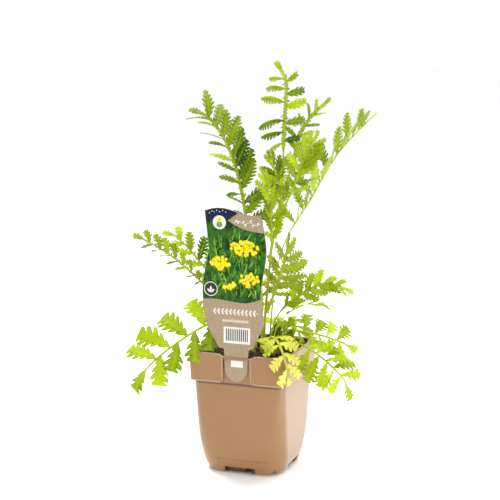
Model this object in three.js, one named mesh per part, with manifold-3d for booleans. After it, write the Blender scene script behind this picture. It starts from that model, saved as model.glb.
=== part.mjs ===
// A potted tansy: a square nursery pot with its soil, a plastic plant tag and the plant's feathery leaves.
// Units are millimetres. +Z is up, the pot's front face looks along -Y, and the origin is on the surface
// that the pot stands on, at the centre of the hub under its floor.

import * as THREE from "three";
import { mergeVertices } from "three/addons/utils/BufferGeometryUtils.js";
import Module from "manifold-3d";

const wasm = await Module();
wasm.setup();

// Pot
const RIM_HALF = 55;
const RIM_TOP = 132;
const RIM_CORNER = 6.5;
const SKIRT_BOTTOM = 101;
const SKIRT_TAPER = 1.2;
const WALL = 1.2;
const FLOOR_UNDER = 6.5;
const FLOOR_TOP = 8;
const FLOOR_BEND = 2;
const NOTCH_WIDTH = 35;
const HUB_RADIUS = 10;
const DRAIN_RADIUS = 3.5;
const DRAIN_CIRCLE = 24;
const RIB_THICKNESS = 1.5;
const RIB_LENGTH = 84;
const RIB_CLEAR = 1.5;

// Low ribs that stand just behind each notch in the foot: their stretches in x, outer face and foot
const CURTAIN_STRETCHES = [[-17, 4.8], [11.5, 17]];
const CURTAIN_FACE = 37.2;
const CURTAIN_CLEAR = 0.6;

// Faces round a bend
const CORNER_STEPS = 5;
const CURVE_STEPS = 4;
const DRAIN_SIDES = 10;
const HUB_SIDES = 16;

// Outside of the pot's body, from the foot up: height, half width, corner radius
const BODY_SECTIONS = [
  [0, 40.6, 25],
  [2.5, 43.4, 25],
  [8, 45.5, 24.5],
  [18, 47.6, 23],
  [39, 49.3, 17],
  [77, 50.1, 11],
  [98, 50.5, 9],
  [122, 51, 8.5],
];

const BODY_AT_SKIRT = BODY_SECTIONS[6][1];

// Pocket for the tag in the front of the rim
const POCKET_HALF = 14.6;
const POCKET_FLARE = 4;
const POCKET_BACK = 51.9;
const STRAP_BOTTOM = 126.5;
const STRAP_THICKNESS = 1.2;
const STRAP_FRONT = 54.6;
const WEB_FRONT = 53.7;
const DIP_DEPTH = 3;
const DIP_HALF = 20;
const SEAT = 0.5;

// Tag
const TAG_BACK = 52.3;
const TAG_THICKNESS = 0.7;

// Soil
const FIT_GAP = 0.35;
const SOIL_TOP = 122;
const SOIL_BUMP = 1.2;
const SOIL_SHOULDER = 3;
const SOIL_RINGS = [46, 36, 26, 16, 7];
const SOIL_RING_ROUND = 0.3;

// Plant
const PLANT_TURN = 20;
const ROOT_DEPTH = 112;
const BLADE = 0.7;
const HOLE_GAP = 0.55;
const STALK_SIDES = 4;
const STALK_STEP = 40;
const LEAFLET_ROOT = 0.2;
const SHORT_LEAFLET = 13;
const TIP_PLACE = 0.97;
const LENGTH_POWER = 0.8;

// Teeth of a leaflet, as shares of its length, and how much narrower each next tooth is
const TEETH = [0.46, 0.8];
const SHORT_TEETH = [0.55];
const NOTCH_BACK = 0.03;
const TOOTH_TAPER = 0.18;

const POT_LOOK = { color: 0xb28c62, roughness: 0.55 };
const SOIL_LOOK = { color: 0x2b1c12, roughness: 0.95 };
const TAG_LOOK = { color: 0xa8917a, roughness: 0.4 };
const LEAF_LOOK = { color: 0x8fbe14, roughness: 0.6 };
const YELLOW_LOOK = { color: 0xe0e04a, roughness: 0.6 };
const STEM_LOOK = { color: 0xa5c026, roughness: 0.6 };

const radians = THREE.MathUtils.degToRad;
const mix = THREE.MathUtils.lerp;

// Closed solid from a three.js geometry: shared corners merged, collapsed triangles dropped
function solidOf(geometry) {
  const bare = geometry.clone();
  bare.deleteAttribute("normal");
  bare.deleteAttribute("uv");
  const merged = mergeVertices(bare);
  const corners = [];
  for (let i = 0; i < merged.index.count; i += 3) {
    const [a, b, c] = [0, 1, 2].map((k) => merged.index.getX(i + k));
    if (a !== b && b !== c && c !== a) {
      corners.push(a, b, c);
    }
  }
  return new wasm.Manifold(new wasm.Mesh({
    numProp: 3,
    vertProperties: new Float32Array(merged.attributes.position.array),
    triVerts: new Uint32Array(corners),
  }));
}

function join(solids) {
  return solids.reduce((whole, next) => whole.add(next));
}

function meshOf(name, solid, look) {
  const { vertProperties, triVerts } = solid.getMesh();
  const geometry = new THREE.BufferGeometry();
  geometry.setAttribute("position", new THREE.BufferAttribute(vertProperties, 3));
  geometry.setIndex(new THREE.BufferAttribute(triVerts, 1));
  geometry.computeVertexNormals();
  const material = new THREE.MeshStandardMaterial({ ...look, metalness: 0 });
  const mesh = new THREE.Mesh(geometry, material);
  mesh.name = name;
  return mesh;
}

function boxSolid(low, high) {
  const size = high.map((value, k) => value - low[k]);
  const centre = high.map((value, k) => (value + low[k]) / 2);
  return solidOf(new THREE.BoxGeometry(...size).translate(...centre));
}

// Body of revolution whose rings are square with round corners. A ring is [height, half width, corner]
function squareLathe(rings, lift = () => 0) {
  const columns = 4 * (CORNER_STEPS + 1);
  const profile = rings.map(([height, half]) => new THREE.Vector2(half, height));
  const geometry = new THREE.LatheGeometry(profile, columns);
  const position = geometry.attributes.position;
  for (let i = 0; i <= columns; i += 1) {
    const column = i % columns;
    const quarter = Math.floor(column / (CORNER_STEPS + 1));
    const angle = radians(90 * quarter + (90 / CORNER_STEPS) * (column % (CORNER_STEPS + 1)));
    const middle = radians(90 * quarter + 45);
    rings.forEach(([height, half, corner], j) => {
      const straight = (half - corner) * Math.SQRT2;
      const x = half === 0 ? 0 : straight * Math.cos(middle) + corner * Math.cos(angle);
      const y = half === 0 ? 0 : straight * Math.sin(middle) + corner * Math.sin(angle);
      position.setXYZ(i * rings.length + j, x, y, height + lift(x, y, height));
    });
  }
  return solidOf(geometry);
}

function offsetRing([height, half, corner], inward) {
  return [height, half - inward, corner - inward];
}

function potShell() {
  const foot = BODY_SECTIONS[0];
  const top = BODY_SECTIONS[BODY_SECTIONS.length - 1];
  const skirt = RIM_HALF - SKIRT_TAPER;
  const flangeUnder = RIM_TOP - WALL;
  const inner = BODY_SECTIONS.slice(3).map((ring) => offsetRing(ring, WALL)).reverse();
  const floorEdge = offsetRing(BODY_SECTIONS[2], WALL);
  return squareLathe([
    [FLOOR_UNDER, 0, 0],
    [FLOOR_UNDER, foot[1] - WALL, foot[2] - WALL],
    [0, foot[1] - WALL, foot[2] - WALL],
    ...BODY_SECTIONS,
    [flangeUnder, top[1] + WALL, top[2]],
    [flangeUnder, RIM_HALF - WALL, RIM_CORNER - WALL],
    [SKIRT_BOTTOM, skirt - WALL, RIM_CORNER - WALL],
    [SKIRT_BOTTOM, skirt, RIM_CORNER],
    [RIM_TOP - WALL / 2, RIM_HALF, RIM_CORNER],
    [RIM_TOP, RIM_HALF - WALL / 2, RIM_CORNER - WALL / 2],
    [RIM_TOP, top[1] + WALL / 2, top[2] - WALL / 2],
    ...inner,
    [FLOOR_TOP + FLOOR_BEND, floorEdge[1], floorEdge[2]],
    [FLOOR_TOP, floorEdge[1] - FLOOR_BEND, floorEdge[2] - FLOOR_BEND],
    [FLOOR_TOP, 0, 0],
  ]);
}

// Outline extruded along Y, from y = -front to y = -back. The outline is drawn in x and z
function frontExtrusion(shape, front, back) {
  const options = { depth: front - back, bevelEnabled: false, curveSegments: CURVE_STEPS };
  const geometry = new THREE.ExtrudeGeometry(shape, options);
  geometry.rotateX(Math.PI / 2);
  geometry.translate(0, -back, 0);
  return solidOf(geometry);
}

function pocketShape() {
  const low = SKIRT_BOTTOM - 1;
  const bend = SKIRT_BOTTOM + POCKET_FLARE;
  const shape = new THREE.Shape();
  shape.moveTo(-POCKET_HALF - POCKET_FLARE, low);
  shape.lineTo(POCKET_HALF + POCKET_FLARE, low);
  shape.quadraticCurveTo(POCKET_HALF, SKIRT_BOTTOM, POCKET_HALF, bend);
  shape.lineTo(POCKET_HALF, RIM_TOP + 1);
  shape.lineTo(-POCKET_HALF, RIM_TOP + 1);
  shape.lineTo(-POCKET_HALF, bend);
  shape.quadraticCurveTo(-POCKET_HALF, SKIRT_BOTTOM, -POCKET_HALF - POCKET_FLARE, low);
  return shape;
}

function dipShape() {
  const shape = new THREE.Shape();
  shape.moveTo(-DIP_HALF, RIM_TOP);
  shape.lineTo(-POCKET_HALF, RIM_TOP - DIP_DEPTH);
  shape.lineTo(POCKET_HALF, RIM_TOP - DIP_DEPTH);
  shape.lineTo(DIP_HALF, RIM_TOP);
  shape.lineTo(DIP_HALF, RIM_TOP + 1);
  shape.lineTo(-DIP_HALF, RIM_TOP + 1);
  return shape;
}

function pocketParts() {
  const flare = POCKET_HALF + POCKET_FLARE;
  const backLow = [-flare, -POCKET_BACK, SKIRT_BOTTOM];
  const back = boxSolid(backLow, [flare, -BODY_AT_SKIRT + SEAT, RIM_TOP - SEAT]);
  const webs = [-1, 1].map((side) => {
    const edges = [side * POCKET_HALF, side * (POCKET_HALF + WALL)].sort((a, b) => a - b);
    const low = [edges[0], -WEB_FRONT, SKIRT_BOTTOM + POCKET_FLARE];
    return boxSolid(low, [edges[1], -POCKET_BACK + SEAT, RIM_TOP - WALL]);
  });
  return [back, ...webs];
}

function strapSolid() {
  const half = POCKET_HALF + WALL / 2;
  const low = [-half, -STRAP_FRONT, STRAP_BOTTOM];
  return boxSolid(low, [half, -STRAP_FRONT + STRAP_THICKNESS, RIM_TOP - DIP_DEPTH]);
}

function drainHoles() {
  const holes = [];
  for (let k = 0; k < 4; k += 1) {
    const angle = radians(90 * k);
    const hole = new THREE.CylinderGeometry(DRAIN_RADIUS, DRAIN_RADIUS, FLOOR_UNDER, DRAIN_SIDES);
    hole.rotateX(Math.PI / 2);
    hole.translate(DRAIN_CIRCLE * Math.cos(angle), DRAIN_CIRCLE * Math.sin(angle), FLOOR_TOP);
    holes.push(solidOf(hole));
  }
  return holes;
}

function underParts() {
  const hub = new THREE.CylinderGeometry(HUB_RADIUS, HUB_RADIUS, FLOOR_UNDER + SEAT, HUB_SIDES);
  hub.rotateX(Math.PI / 2);
  hub.translate(0, 0, (FLOOR_UNDER + SEAT) / 2);
  const ribs = [45, 135].map((turn) => {
    const rib = new THREE.BoxGeometry(RIB_LENGTH, RIB_THICKNESS, FLOOR_UNDER + SEAT - RIB_CLEAR);
    return solidOf(rib.rotateZ(radians(turn)).translate(0, 0, (FLOOR_UNDER + SEAT + RIB_CLEAR) / 2));
  });
  return [solidOf(hub), ...ribs];
}

function curtainRibs() {
  return CURTAIN_STRETCHES.flatMap(([from, to]) => {
    const low = [from, -CURTAIN_FACE, CURTAIN_CLEAR];
    const rib = boxSolid(low, [to, -CURTAIN_FACE + RIB_THICKNESS, FLOOR_UNDER + SEAT]);
    return [0, 90, 180, 270].map((turn) => rib.rotate([0, 0, turn]));
  });
}

function notchCuts() {
  const inner = BODY_SECTIONS[0][1] - 2 * WALL;
  return [0, 90, 180, 270].map((turn) => {
    const cut = new THREE.BoxGeometry(NOTCH_WIDTH, 10 * WALL, 2 * FLOOR_UNDER);
    cut.translate(0, -inner - 5 * WALL, 0);
    return solidOf(cut.rotateZ(radians(turn)));
  });
}

function potSolid() {
  const opened = potShell().subtract(frontExtrusion(pocketShape(), RIM_HALF + 1, POCKET_BACK));
  const filled = join([opened, ...pocketParts(), strapSolid(), ...underParts(), ...curtainRibs()]);
  const dipped = filled.subtract(frontExtrusion(dipShape(), RIM_HALF + 1, BODY_AT_SKIRT - WALL));
  return [...notchCuts(), ...drainHoles()].reduce((whole, cut) => whole.subtract(cut), dipped);
}

function tagSolid() {
  const shape = new THREE.Shape();
  shape.moveTo(-0.5, 103.5);
  shape.quadraticCurveTo(9, 103.5, 12, 115);
  shape.lineTo(13.2, 138);
  shape.lineTo(18, 140);
  shape.lineTo(31, 168);
  const flow = (points) => shape.splineThru(points.map(([x, z]) => new THREE.Vector2(x, z)));
  flow([[28, 184], [27, 198], [29, 214], [32, 231], [33, 245], [31, 261], [27, 280]]);
  flow([[12, 280], [0, 283], [-12, 286], [-24, 286], [-35, 283]]);
  flow([[-32, 257], [-30.5, 243], [-34, 227], [-37, 209], [-38, 193], [-36.5, 178], [-33, 162]]);
  shape.lineTo(-20, 139);
  shape.lineTo(-14, 138);
  shape.lineTo(-13, 115);
  shape.quadraticCurveTo(-10, 103.5, -0.5, 103.5);
  return frontExtrusion(shape, TAG_BACK + TAG_THICKNESS, TAG_BACK);
}

// Uneven top of the soil: two crossed waves with a finer slanting one
function soilHeight(x, y, height) {
  const crossed = Math.sin(x * 0.33 + 1) * Math.cos(y * 0.29 + 0.5);
  const slanting = 0.5 * Math.sin(y * 0.61 - x * 0.17);
  return height < SOIL_TOP ? 0 : SOIL_BUMP * (crossed + slanting);
}

function soilSolid(holes) {
  const sides = BODY_SECTIONS.slice(3, 7).map((ring) => offsetRing(ring, WALL + FIT_GAP));
  const edge = offsetRing(BODY_SECTIONS[7], WALL + 2 * FIT_GAP);
  const floorEdge = offsetRing(BODY_SECTIONS[2], WALL + FIT_GAP);
  const block = squareLathe([
    [FLOOR_TOP + FIT_GAP, 0, 0],
    [FLOOR_TOP + FIT_GAP, floorEdge[1] - FLOOR_BEND, floorEdge[2] - FLOOR_BEND],
    [FLOOR_TOP + FLOOR_BEND, floorEdge[1], floorEdge[2]],
    ...sides,
    [SOIL_TOP - SOIL_SHOULDER, edge[1], edge[2]],
    ...SOIL_RINGS.map((half) => [SOIL_TOP, half, half * SOIL_RING_ROUND]),
    [SOIL_TOP, 0, 0],
  ], soilHeight);
  return holes.reduce((whole, hole) => whole.subtract(hole), block);
}

// Plant. A route's points are [right, toward, up] as seen from the plant's best side, which the plant
// group turns PLANT_TURN about Z. Root points are below the soil's top.
function place([right, toward, up]) {
  return new THREE.Vector3(right, -toward, up);
}

function routeOf(points) {
  return new THREE.CatmullRomCurve3(points.map(place), false, "catmullrom");
}

// Tangent, face normal and side direction at a place on a route
function frameAt(route, s, face) {
  const tangent = route.getTangentAt(s);
  const hint = place(face);
  const normal = hint.addScaledVector(tangent, -hint.dot(tangent)).normalize();
  const side = new THREE.Vector3().crossVectors(tangent, normal);
  return { origin: route.getPointAt(s), tangent, normal, side };
}

function stalkSteps(route) {
  return Math.max(2, Math.round(route.getLength() / STALK_STEP));
}

// Tapered stalk of straight stretches along a route. It may stop early, and start below its root
function stalkSolid(route, baseRadius, tipRadius, face, stretches = stalkSteps(route), below = 0) {
  const steps = stalkSteps(route);
  const turn = Math.PI / STALK_SIDES;
  const sizes = [tipRadius, baseRadius, 1, STALK_SIDES, stretches, false, turn];
  const geometry = new THREE.CylinderGeometry(...sizes);
  const firstWay = route.getPointAt(1 / steps).sub(route.getPointAt(0)).normalize();
  const position = geometry.attributes.position;
  for (let i = 0; i < position.count; i += 1) {
    const s = ((position.getY(i) + 0.5) * stretches) / steps;
    const { origin, normal, side } = frameAt(route, s, face);
    origin.addScaledVector(side, position.getX(i)).addScaledVector(normal, position.getZ(i));
    origin.addScaledVector(firstWay, s === 0 ? -below : 0);
    position.setXYZ(i, origin.x, origin.y, origin.z);
  }
  return solidOf(geometry);
}

// Place on the straight stretches of a stalk
function stalkPoint(route, s) {
  const steps = stalkSteps(route);
  const stretch = Math.min(Math.floor(s * steps), steps - 1);
  const start = route.getPointAt(stretch / steps);
  return start.lerp(route.getPointAt((stretch + 1) / steps), s * steps - stretch);
}

// Leaflet outline along +X with forward-pointing teeth, from a point inside the stalk
function leafletShape(length, halfWidth, notch) {
  const teeth = length < SHORT_LEAFLET ? SHORT_TEETH : TEETH;
  const side = teeth.flatMap((along, k) => {
    const tooth = [length * along, halfWidth * (1 - TOOTH_TAPER * k)];
    return k === 0 ? [tooth] : [[length * (teeth[0] - NOTCH_BACK), halfWidth * notch], tooth];
  });
  const points = [
    [LEAFLET_ROOT, 0],
    ...side.map(([x, y]) => [x, -y]),
    [length, 0],
    ...side.reverse(),
  ];
  return new THREE.Shape(points.map(([x, y]) => new THREE.Vector2(x, y)));
}

// Leaflet bent away from its upper face and set in the frame (along, across, normal)
function leafletSolid(length, frond, origin, along, normal) {
  const across = new THREE.Vector3().crossVectors(normal, along);
  const shape = leafletShape(length, length * frond.blade, frond.notch);
  const geometry = new THREE.ExtrudeGeometry(shape, { depth: BLADE, bevelEnabled: false });
  const position = geometry.attributes.position;
  const angle = radians(frond.bend);
  for (let i = 0; i < position.count; i += 1) {
    const turned = (angle * position.getX(i)) / length;
    const height = position.getZ(i) - BLADE / 2;
    const forward = (length * Math.sin(turned)) / angle + height * Math.sin(turned);
    const up = (-length * (1 - Math.cos(turned))) / angle + height * Math.cos(turned);
    const point = origin.clone().addScaledVector(along, forward);
    point.addScaledVector(across, position.getY(i)).addScaledVector(normal, up);
    position.setXYZ(i, point.x, point.y, point.z);
  }
  return solidOf(geometry);
}

function leafletLength(frond, u) {
  const [start, reach] = frond.swell;
  return frond.span * Math.sin(Math.PI * (start + reach * u)) ** LENGTH_POWER;
}

function faceAt(frond, s) {
  const tip = frond.tipFace ?? frond.face;
  return frond.face.map((value, k) => mix(value, tip[k], s));
}

// Leaflets in near-opposite pairs from the frond's first place to its tip, and one at the end
function leafletSolids(frond, route) {
  const solids = [];
  const lift = radians(frond.lift);
  const roll = radians(frond.roll);
  for (let k = 0; k < frond.pairs; k += 1) {
    for (const side of [-1, 1]) {
      const u = (k + (side > 0 ? frond.stagger : 0)) / frond.pairs;
      const s = mix(frond.first, TIP_PLACE, u);
      const { tangent, normal, side: across } = frameAt(route, s, faceAt(frond, s));
      const spread = radians(mix(frond.spread[0], frond.spread[1], u));
      const sideways = across.clone().multiplyScalar(side * Math.cos(lift));
      sideways.addScaledVector(normal, Math.sin(lift));
      const flat = new THREE.Vector3().crossVectors(sideways, tangent).multiplyScalar(side);
      const along = tangent.clone().multiplyScalar(Math.cos(spread));
      along.addScaledVector(sideways, Math.sin(spread));
      const forward = tangent.clone().addScaledVector(along, -tangent.dot(along)).normalize();
      const upper = flat.multiplyScalar(Math.cos(roll)).addScaledVector(forward, Math.sin(roll));
      const length = leafletLength(frond, u) * (side < 0 ? frond.left : frond.right);
      solids.push(leafletSolid(length, frond, stalkPoint(route, s), along, upper));
    }
  }
  const end = frameAt(route, TIP_PLACE, faceAt(frond, 1));
  solids.push(leafletSolid(frond.end, frond, stalkPoint(route, TIP_PLACE), end.tangent, end.normal));
  return solids;
}

// Leaflets stand in pairs from the place first of the route. span is the longest one's length, and end the
// last one's. spread is the angle from the stalk at the first and the last pair, and lift the angle above
// the frond's face
const FROND_DEFAULTS = {
  first: 0.5, pairs: 7, span: 26, end: 13, blade: 0.17, notch: 0.45, spread: [60, 35], lift: 20, roll: 0,
  bend: 25, left: 1, right: 1, stagger: 0.35, swell: [0.2, 0.68], radius: 1.2, tip: 0.6,
  face: [0, 1, 0.3],
};

function frondSolid(spec) {
  const frond = { ...FROND_DEFAULTS, ...spec };
  const route = routeOf(frond.route);
  return join([stalkSolid(route, frond.radius, frond.tip, frond.face), ...leafletSolids(frond, route)]);
}

// Plain hole in the soil round a stalk's root
function rootHole(spec) {
  const frond = { ...FROND_DEFAULTS, ...spec };
  const route = routeOf(frond.route);
  const radius = frond.radius + HOLE_GAP;
  return stalkSolid(route, radius, radius, frond.face, 1, HOLE_GAP);
}

// The upright stem, and the leaves that grow from it from the top down
const STEM = {
  route: [[9, 0, ROOT_DEPTH], [12, 2, 159], [15, 3, 198], [19, 3, 236], [25, 1, 267], [29, -2, 294],
    [31, -5, 318]],
  radius: 2, tip: 1.1, face: [0, 1, 0],
};

const STEM_LEAVES = [
  { route: [[29, -2, 294], [31, -5, 324], [32, -10, 362], [34, -14, 393], [34, -17, 413],
      [28, -18, 426]],
    first: 0.38, pairs: 6, span: 32, end: 16, blade: 0.15, spread: [78, 50],
    lift: 20, roll: 50, bend: 55, right: 0.75, face: [-0.1, 1, 0.15] },
  { route: [[27, -1, 280], [36, -8, 309], [44, -14, 335], [48, -18, 355], [62, -24, 376],
      [76, -29, 389]],
    first: 0.42, pairs: 5, span: 24, spread: [60, 25], lift: 25, roll: 30, face: [0.2, 1, 0.2] },
  { route: [[23, 1, 255], [29, 8, 284], [26, 12, 309], [18, 18, 334]],
    first: 0.35, pairs: 4, span: 25, spread: [42, 20], lift: 35, face: [0.3, 1, 0.2] },
  { route: [[22, 0, 248], [31, 6, 277], [40, 14, 301], [52, 22, 334], [63, 26, 356]],
    first: 0.45, pairs: 5, span: 28, spread: [62, 30], lift: 30, face: [0.2, 1, 0.2] },
  { route: [[17, 4, 223], [19, 12, 250], [17, 20, 286], [10, 25, 318]],
    first: 0.26, pairs: 5, span: 27, spread: [38, 20], lift: 40, face: [0.4, 1, 0.1] },
  { route: [[14, 4, 168], [23, 10, 194], [31, 14, 220], [37, 12, 246]],
    first: 0.32, pairs: 4, span: 24, blade: 0.14, spread: [85, 60], lift: 35,
    face: [0.5, -0.3, 1] },
];

const FRONDS = {
  frond_left_tall: {
    route: [[1, -5, ROOT_DEPTH], [-4, -10, 201], [-10, -16, 280], [-25, -22, 338], [-45, -27, 371],
      [-62, -30, 381]],
    first: 0.52, pairs: 8, span: 35, end: 16, spread: [60, 40], lift: 25,
    left: 0.75, swell: [0.28, 0.46], face: [0.45, 0.9, 0.1] },
  frond_right_tall: {
    route: [[15, -8, ROOT_DEPTH], [28, -22, 223], [64, -46, 287], [91, -58, 331], [119, -67, 361],
      [134, -71, 375]],
    first: 0.48, pairs: 8, span: 34, end: 14, spread: [60, 35], lift: 66, bend: 15,
    face: [-0.6, 0.3, 0.7] },
  frond_left_middle: {
    route: [[-3, 3, ROOT_DEPTH], [-28, 6, 173], [-53, 10, 200], [-86, 16, 231], [-119, 21, 252]],
    first: 0.45, pairs: 6, span: 21, end: 13, spread: [62, 45], lift: 30,
    face: [0.35, 0.77, 0.53] },
  frond_left_upper: {
    route: [[-3, -9, ROOT_DEPTH], [-26, -14, 169], [-52, -24, 210], [-80, -37, 240],
      [-92, -41, 246]],
    first: 0.42, pairs: 6, span: 25, end: 14, spread: [65, 45], lift: 25, left: 0.95,
    face: [0.27, 0.94, 0.21] },
  frond_left_drape: {
    route: [[-4, 10, ROOT_DEPTH], [-23, 16, 161], [-50, 26, 159], [-84, 38, 140], [-108, 44, 121],
      [-116, 46, 111]],
    first: 0.47, pairs: 5, span: 34, end: 24, blade: 0.22, notch: 0.6, spread: [82, 50],
    lift: 8, left: 0.9, face: [-0.2, 0.9, 0.4] },
  frond_right_upper: {
    route: [[13, 6, ROOT_DEPTH], [24, 14, 164], [49, 20, 190], [75, 23, 203], [98, 22, 197]],
    first: 0.5, pairs: 6, span: 21, left: 0.9, right: 0.8, end: 13, blade: 0.2, notch: 0.55,
    spread: [65, 40], lift: 15, face: [0, 0.7, 0.7] },
  frond_right_lower: {
    route: [[19, 14, ROOT_DEPTH], [25, 27, 159], [52, 39, 183], [82, 44, 183]],
    first: 0.4, pairs: 4, span: 15, end: 9, blade: 0.2, spread: [55, 30], lift: 15,
    face: [-0.3, -0.3, 1] },
  frond_right_rim: {
    route: [[21, -1, ROOT_DEPTH], [30, -9, 143], [59, -18, 141], [90, -25, 131], [104, -27, 124]],
    first: 0.34, pairs: 5, span: 20, right: 0.8, end: 16, blade: 0.26, notch: 0.55,
    spread: [85, 50], lift: 12, face: [0, 0.85, 0.5] },
  frond_right_drape: {
    route: [[17, 9, ROOT_DEPTH], [30, 12, 136], [51, 23, 137], [74, 31, 123], [93, 35, 105],
      [98, 36, 96]],
    first: 0.52, pairs: 4, span: 31, end: 20, blade: 0.21, notch: 0.6, spread: [75, 45], lift: 5,
    face: [0.2, 0.8, 0.5] },
  frond_yellow: {
    route: [[12, 18, ROOT_DEPTH], [17, 34, 145], [22, 50, 150], [28, 66, 143], [33, 75, 128],
      [36, 77, 114]],
    first: 0.42, pairs: 4, span: 22, end: 13, blade: 0.2, notch: 0.6, spread: [75, 45], lift: 10,
    face: [0, 0.2, 1] },
  frond_back_tall: {
    route: [[-1, -16, ROOT_DEPTH], [-8, -30, 180], [-16, -46, 228], [-20, -60, 248]],
    first: 0.45, pairs: 5, span: 22, end: 13, face: [-0.3, 0.9, 0.4] },
  frond_back_arched: {
    route: [[8, -14, ROOT_DEPTH], [9, -36, 172], [3, -64, 200], [-4, -88, 200]],
    first: 0.42, pairs: 5, span: 22, end: 13, spread: [70, 45], face: [0, 0.3, 1] },
  frond_back_drape: {
    route: [[3, -21, ROOT_DEPTH], [0, -36, 142], [-8, -64, 148], [-16, -92, 130], [-19, -102, 116]],
    first: 0.42, pairs: 4, span: 26, end: 18, blade: 0.21, notch: 0.6, spread: [75, 45],
    face: [0, 0.2, 1] },
  frond_back_right: {
    route: [[15, -17, ROOT_DEPTH], [26, -38, 142], [38, -60, 144], [50, -82, 130], [54, -90, 118]],
    first: 0.42, pairs: 4, span: 26, end: 18, blade: 0.21, notch: 0.6, spread: [75, 45],
    face: [-0.1, 0.2, 1] },
  frond_small: {
    route: [[23, 6, ROOT_DEPTH], [29, 9, 138], [36, 14, 154]],
    first: 0.5, pairs: 3, span: 13, end: 12, blade: 0.25, notch: 0.6, spread: [70, 45],
    face: [0, 0.7, 0.7] },
};

const plant = new THREE.Group();
plant.rotation.z = radians(PLANT_TURN);
const stem = stalkSolid(routeOf(STEM.route), STEM.radius, STEM.tip, STEM.face);
plant.add(meshOf("leafy_stem", join([stem, ...STEM_LEAVES.map(frondSolid)]), STEM_LOOK));
for (const [name, spec] of Object.entries(FRONDS)) {
  plant.add(meshOf(name, frondSolid(spec), name === "frond_yellow" ? YELLOW_LOOK : LEAF_LOOK));
}

const roots = [STEM, ...Object.values(FRONDS)];
const holes = roots.map((spec) => rootHole(spec).rotate([0, 0, PLANT_TURN]));

const pottedTansy = new THREE.Group();
pottedTansy.add(meshOf("pot", potSolid(), POT_LOOK));
pottedTansy.add(meshOf("soil", soilSolid(holes), SOIL_LOOK));
pottedTansy.add(meshOf("tag", tagSolid(), TAG_LOOK));
pottedTansy.add(plant);

export default pottedTansy;
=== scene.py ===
"""Looks of the potted tansy: pot, soil, plant tag and foliage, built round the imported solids."""

import math

import bpy
import numpy as np
from mathutils import Matrix, Vector
from mathutils.geometry import tessellate_polygon


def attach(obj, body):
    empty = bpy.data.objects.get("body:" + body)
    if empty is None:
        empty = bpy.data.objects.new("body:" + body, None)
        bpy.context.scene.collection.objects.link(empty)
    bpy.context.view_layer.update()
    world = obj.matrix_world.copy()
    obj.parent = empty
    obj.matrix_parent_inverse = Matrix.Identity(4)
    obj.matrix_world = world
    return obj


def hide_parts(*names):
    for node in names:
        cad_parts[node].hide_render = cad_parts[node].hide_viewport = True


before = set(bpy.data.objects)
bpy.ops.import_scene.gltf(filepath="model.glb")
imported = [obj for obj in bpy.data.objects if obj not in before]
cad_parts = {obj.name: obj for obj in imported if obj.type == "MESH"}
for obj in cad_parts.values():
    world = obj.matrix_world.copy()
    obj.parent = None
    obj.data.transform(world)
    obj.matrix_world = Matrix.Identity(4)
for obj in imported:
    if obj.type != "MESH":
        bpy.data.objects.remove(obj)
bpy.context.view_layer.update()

MM = 0.001
SEED = 20
PLANT_TURN = 20

# Camera: its turn and rise in degrees, and its distance from the point right and up of the pot's foot
CAMERA_TURN = 20
CAMERA_RISE = 9.5
CAMERA_AWAY = 1500
CAMERA_RIGHT = -4
CAMERA_HEIGHT = 235
PHOTO_SIDE = 500
FOCAL_PIXELS = 1408
SENSOR = 36

# Pot, in millimetres, with the same values as the solids. A body section is height, half width and corner
RIM_HALF = 55
RIM_TOP = 132
RIM_CORNER = 6.5
SKIRT_BOTTOM = 101
SKIRT_TAPER = 1.2
WALL = 1.2
FLOOR_UNDER = 6.5
FLOOR_TOP = 8
NOTCH_HALF = 17.5
NOTCH_TOP = 7
HUB_RADIUS = 10
DRAIN_RADIUS = 3.5
DRAIN_CIRCLE = 24
RIB_THICKNESS = 1.5
RIB_LENGTH = 84
RIB_CLEAR = 1.5
FLOOR_SINK = 0.5
POCKET_HALF = 14.6
POCKET_FLARE = 4
POCKET_FACE = 52
STRAP_BOTTOM = 126.5
STRAP_FRONT = 54.6
STRAP_THICKNESS = 1.2
DIP_DEPTH = 3
DIP_HALF = 20
BODY_SECTIONS = [
    (0, 40.6, 25), (2.5, 43.4, 25), (8, 45.5, 24.5), (18, 47.6, 23),
    (39, 49.3, 17), (77, 50.1, 11), (98, 50.5, 9), (122, 51, 8.5),
]
CURTAIN_STRETCHES = [(-17, 4.8), (11.5, 17)]
CURTAIN_FACE = 37.2
CURTAIN_CLEAR = 0.6
MARK_HEIGHT = 16.5
MARK_SPREAD = 22.0

# Soil and tag, in millimetres
SOIL_TOP = 122
SOIL_GAP = 0.35
SOIL_FOOT = 8.5
SOIL_RINGS = 64
SOIL_COLUMNS = 200
CRUMBS = 900
FIBRES = 150
GRAINS = 14
TAG_FRONT = 53
TAG_THICKNESS = 0.7
PRINT = 0.04
PETALS = 9


# Mesh making

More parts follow.
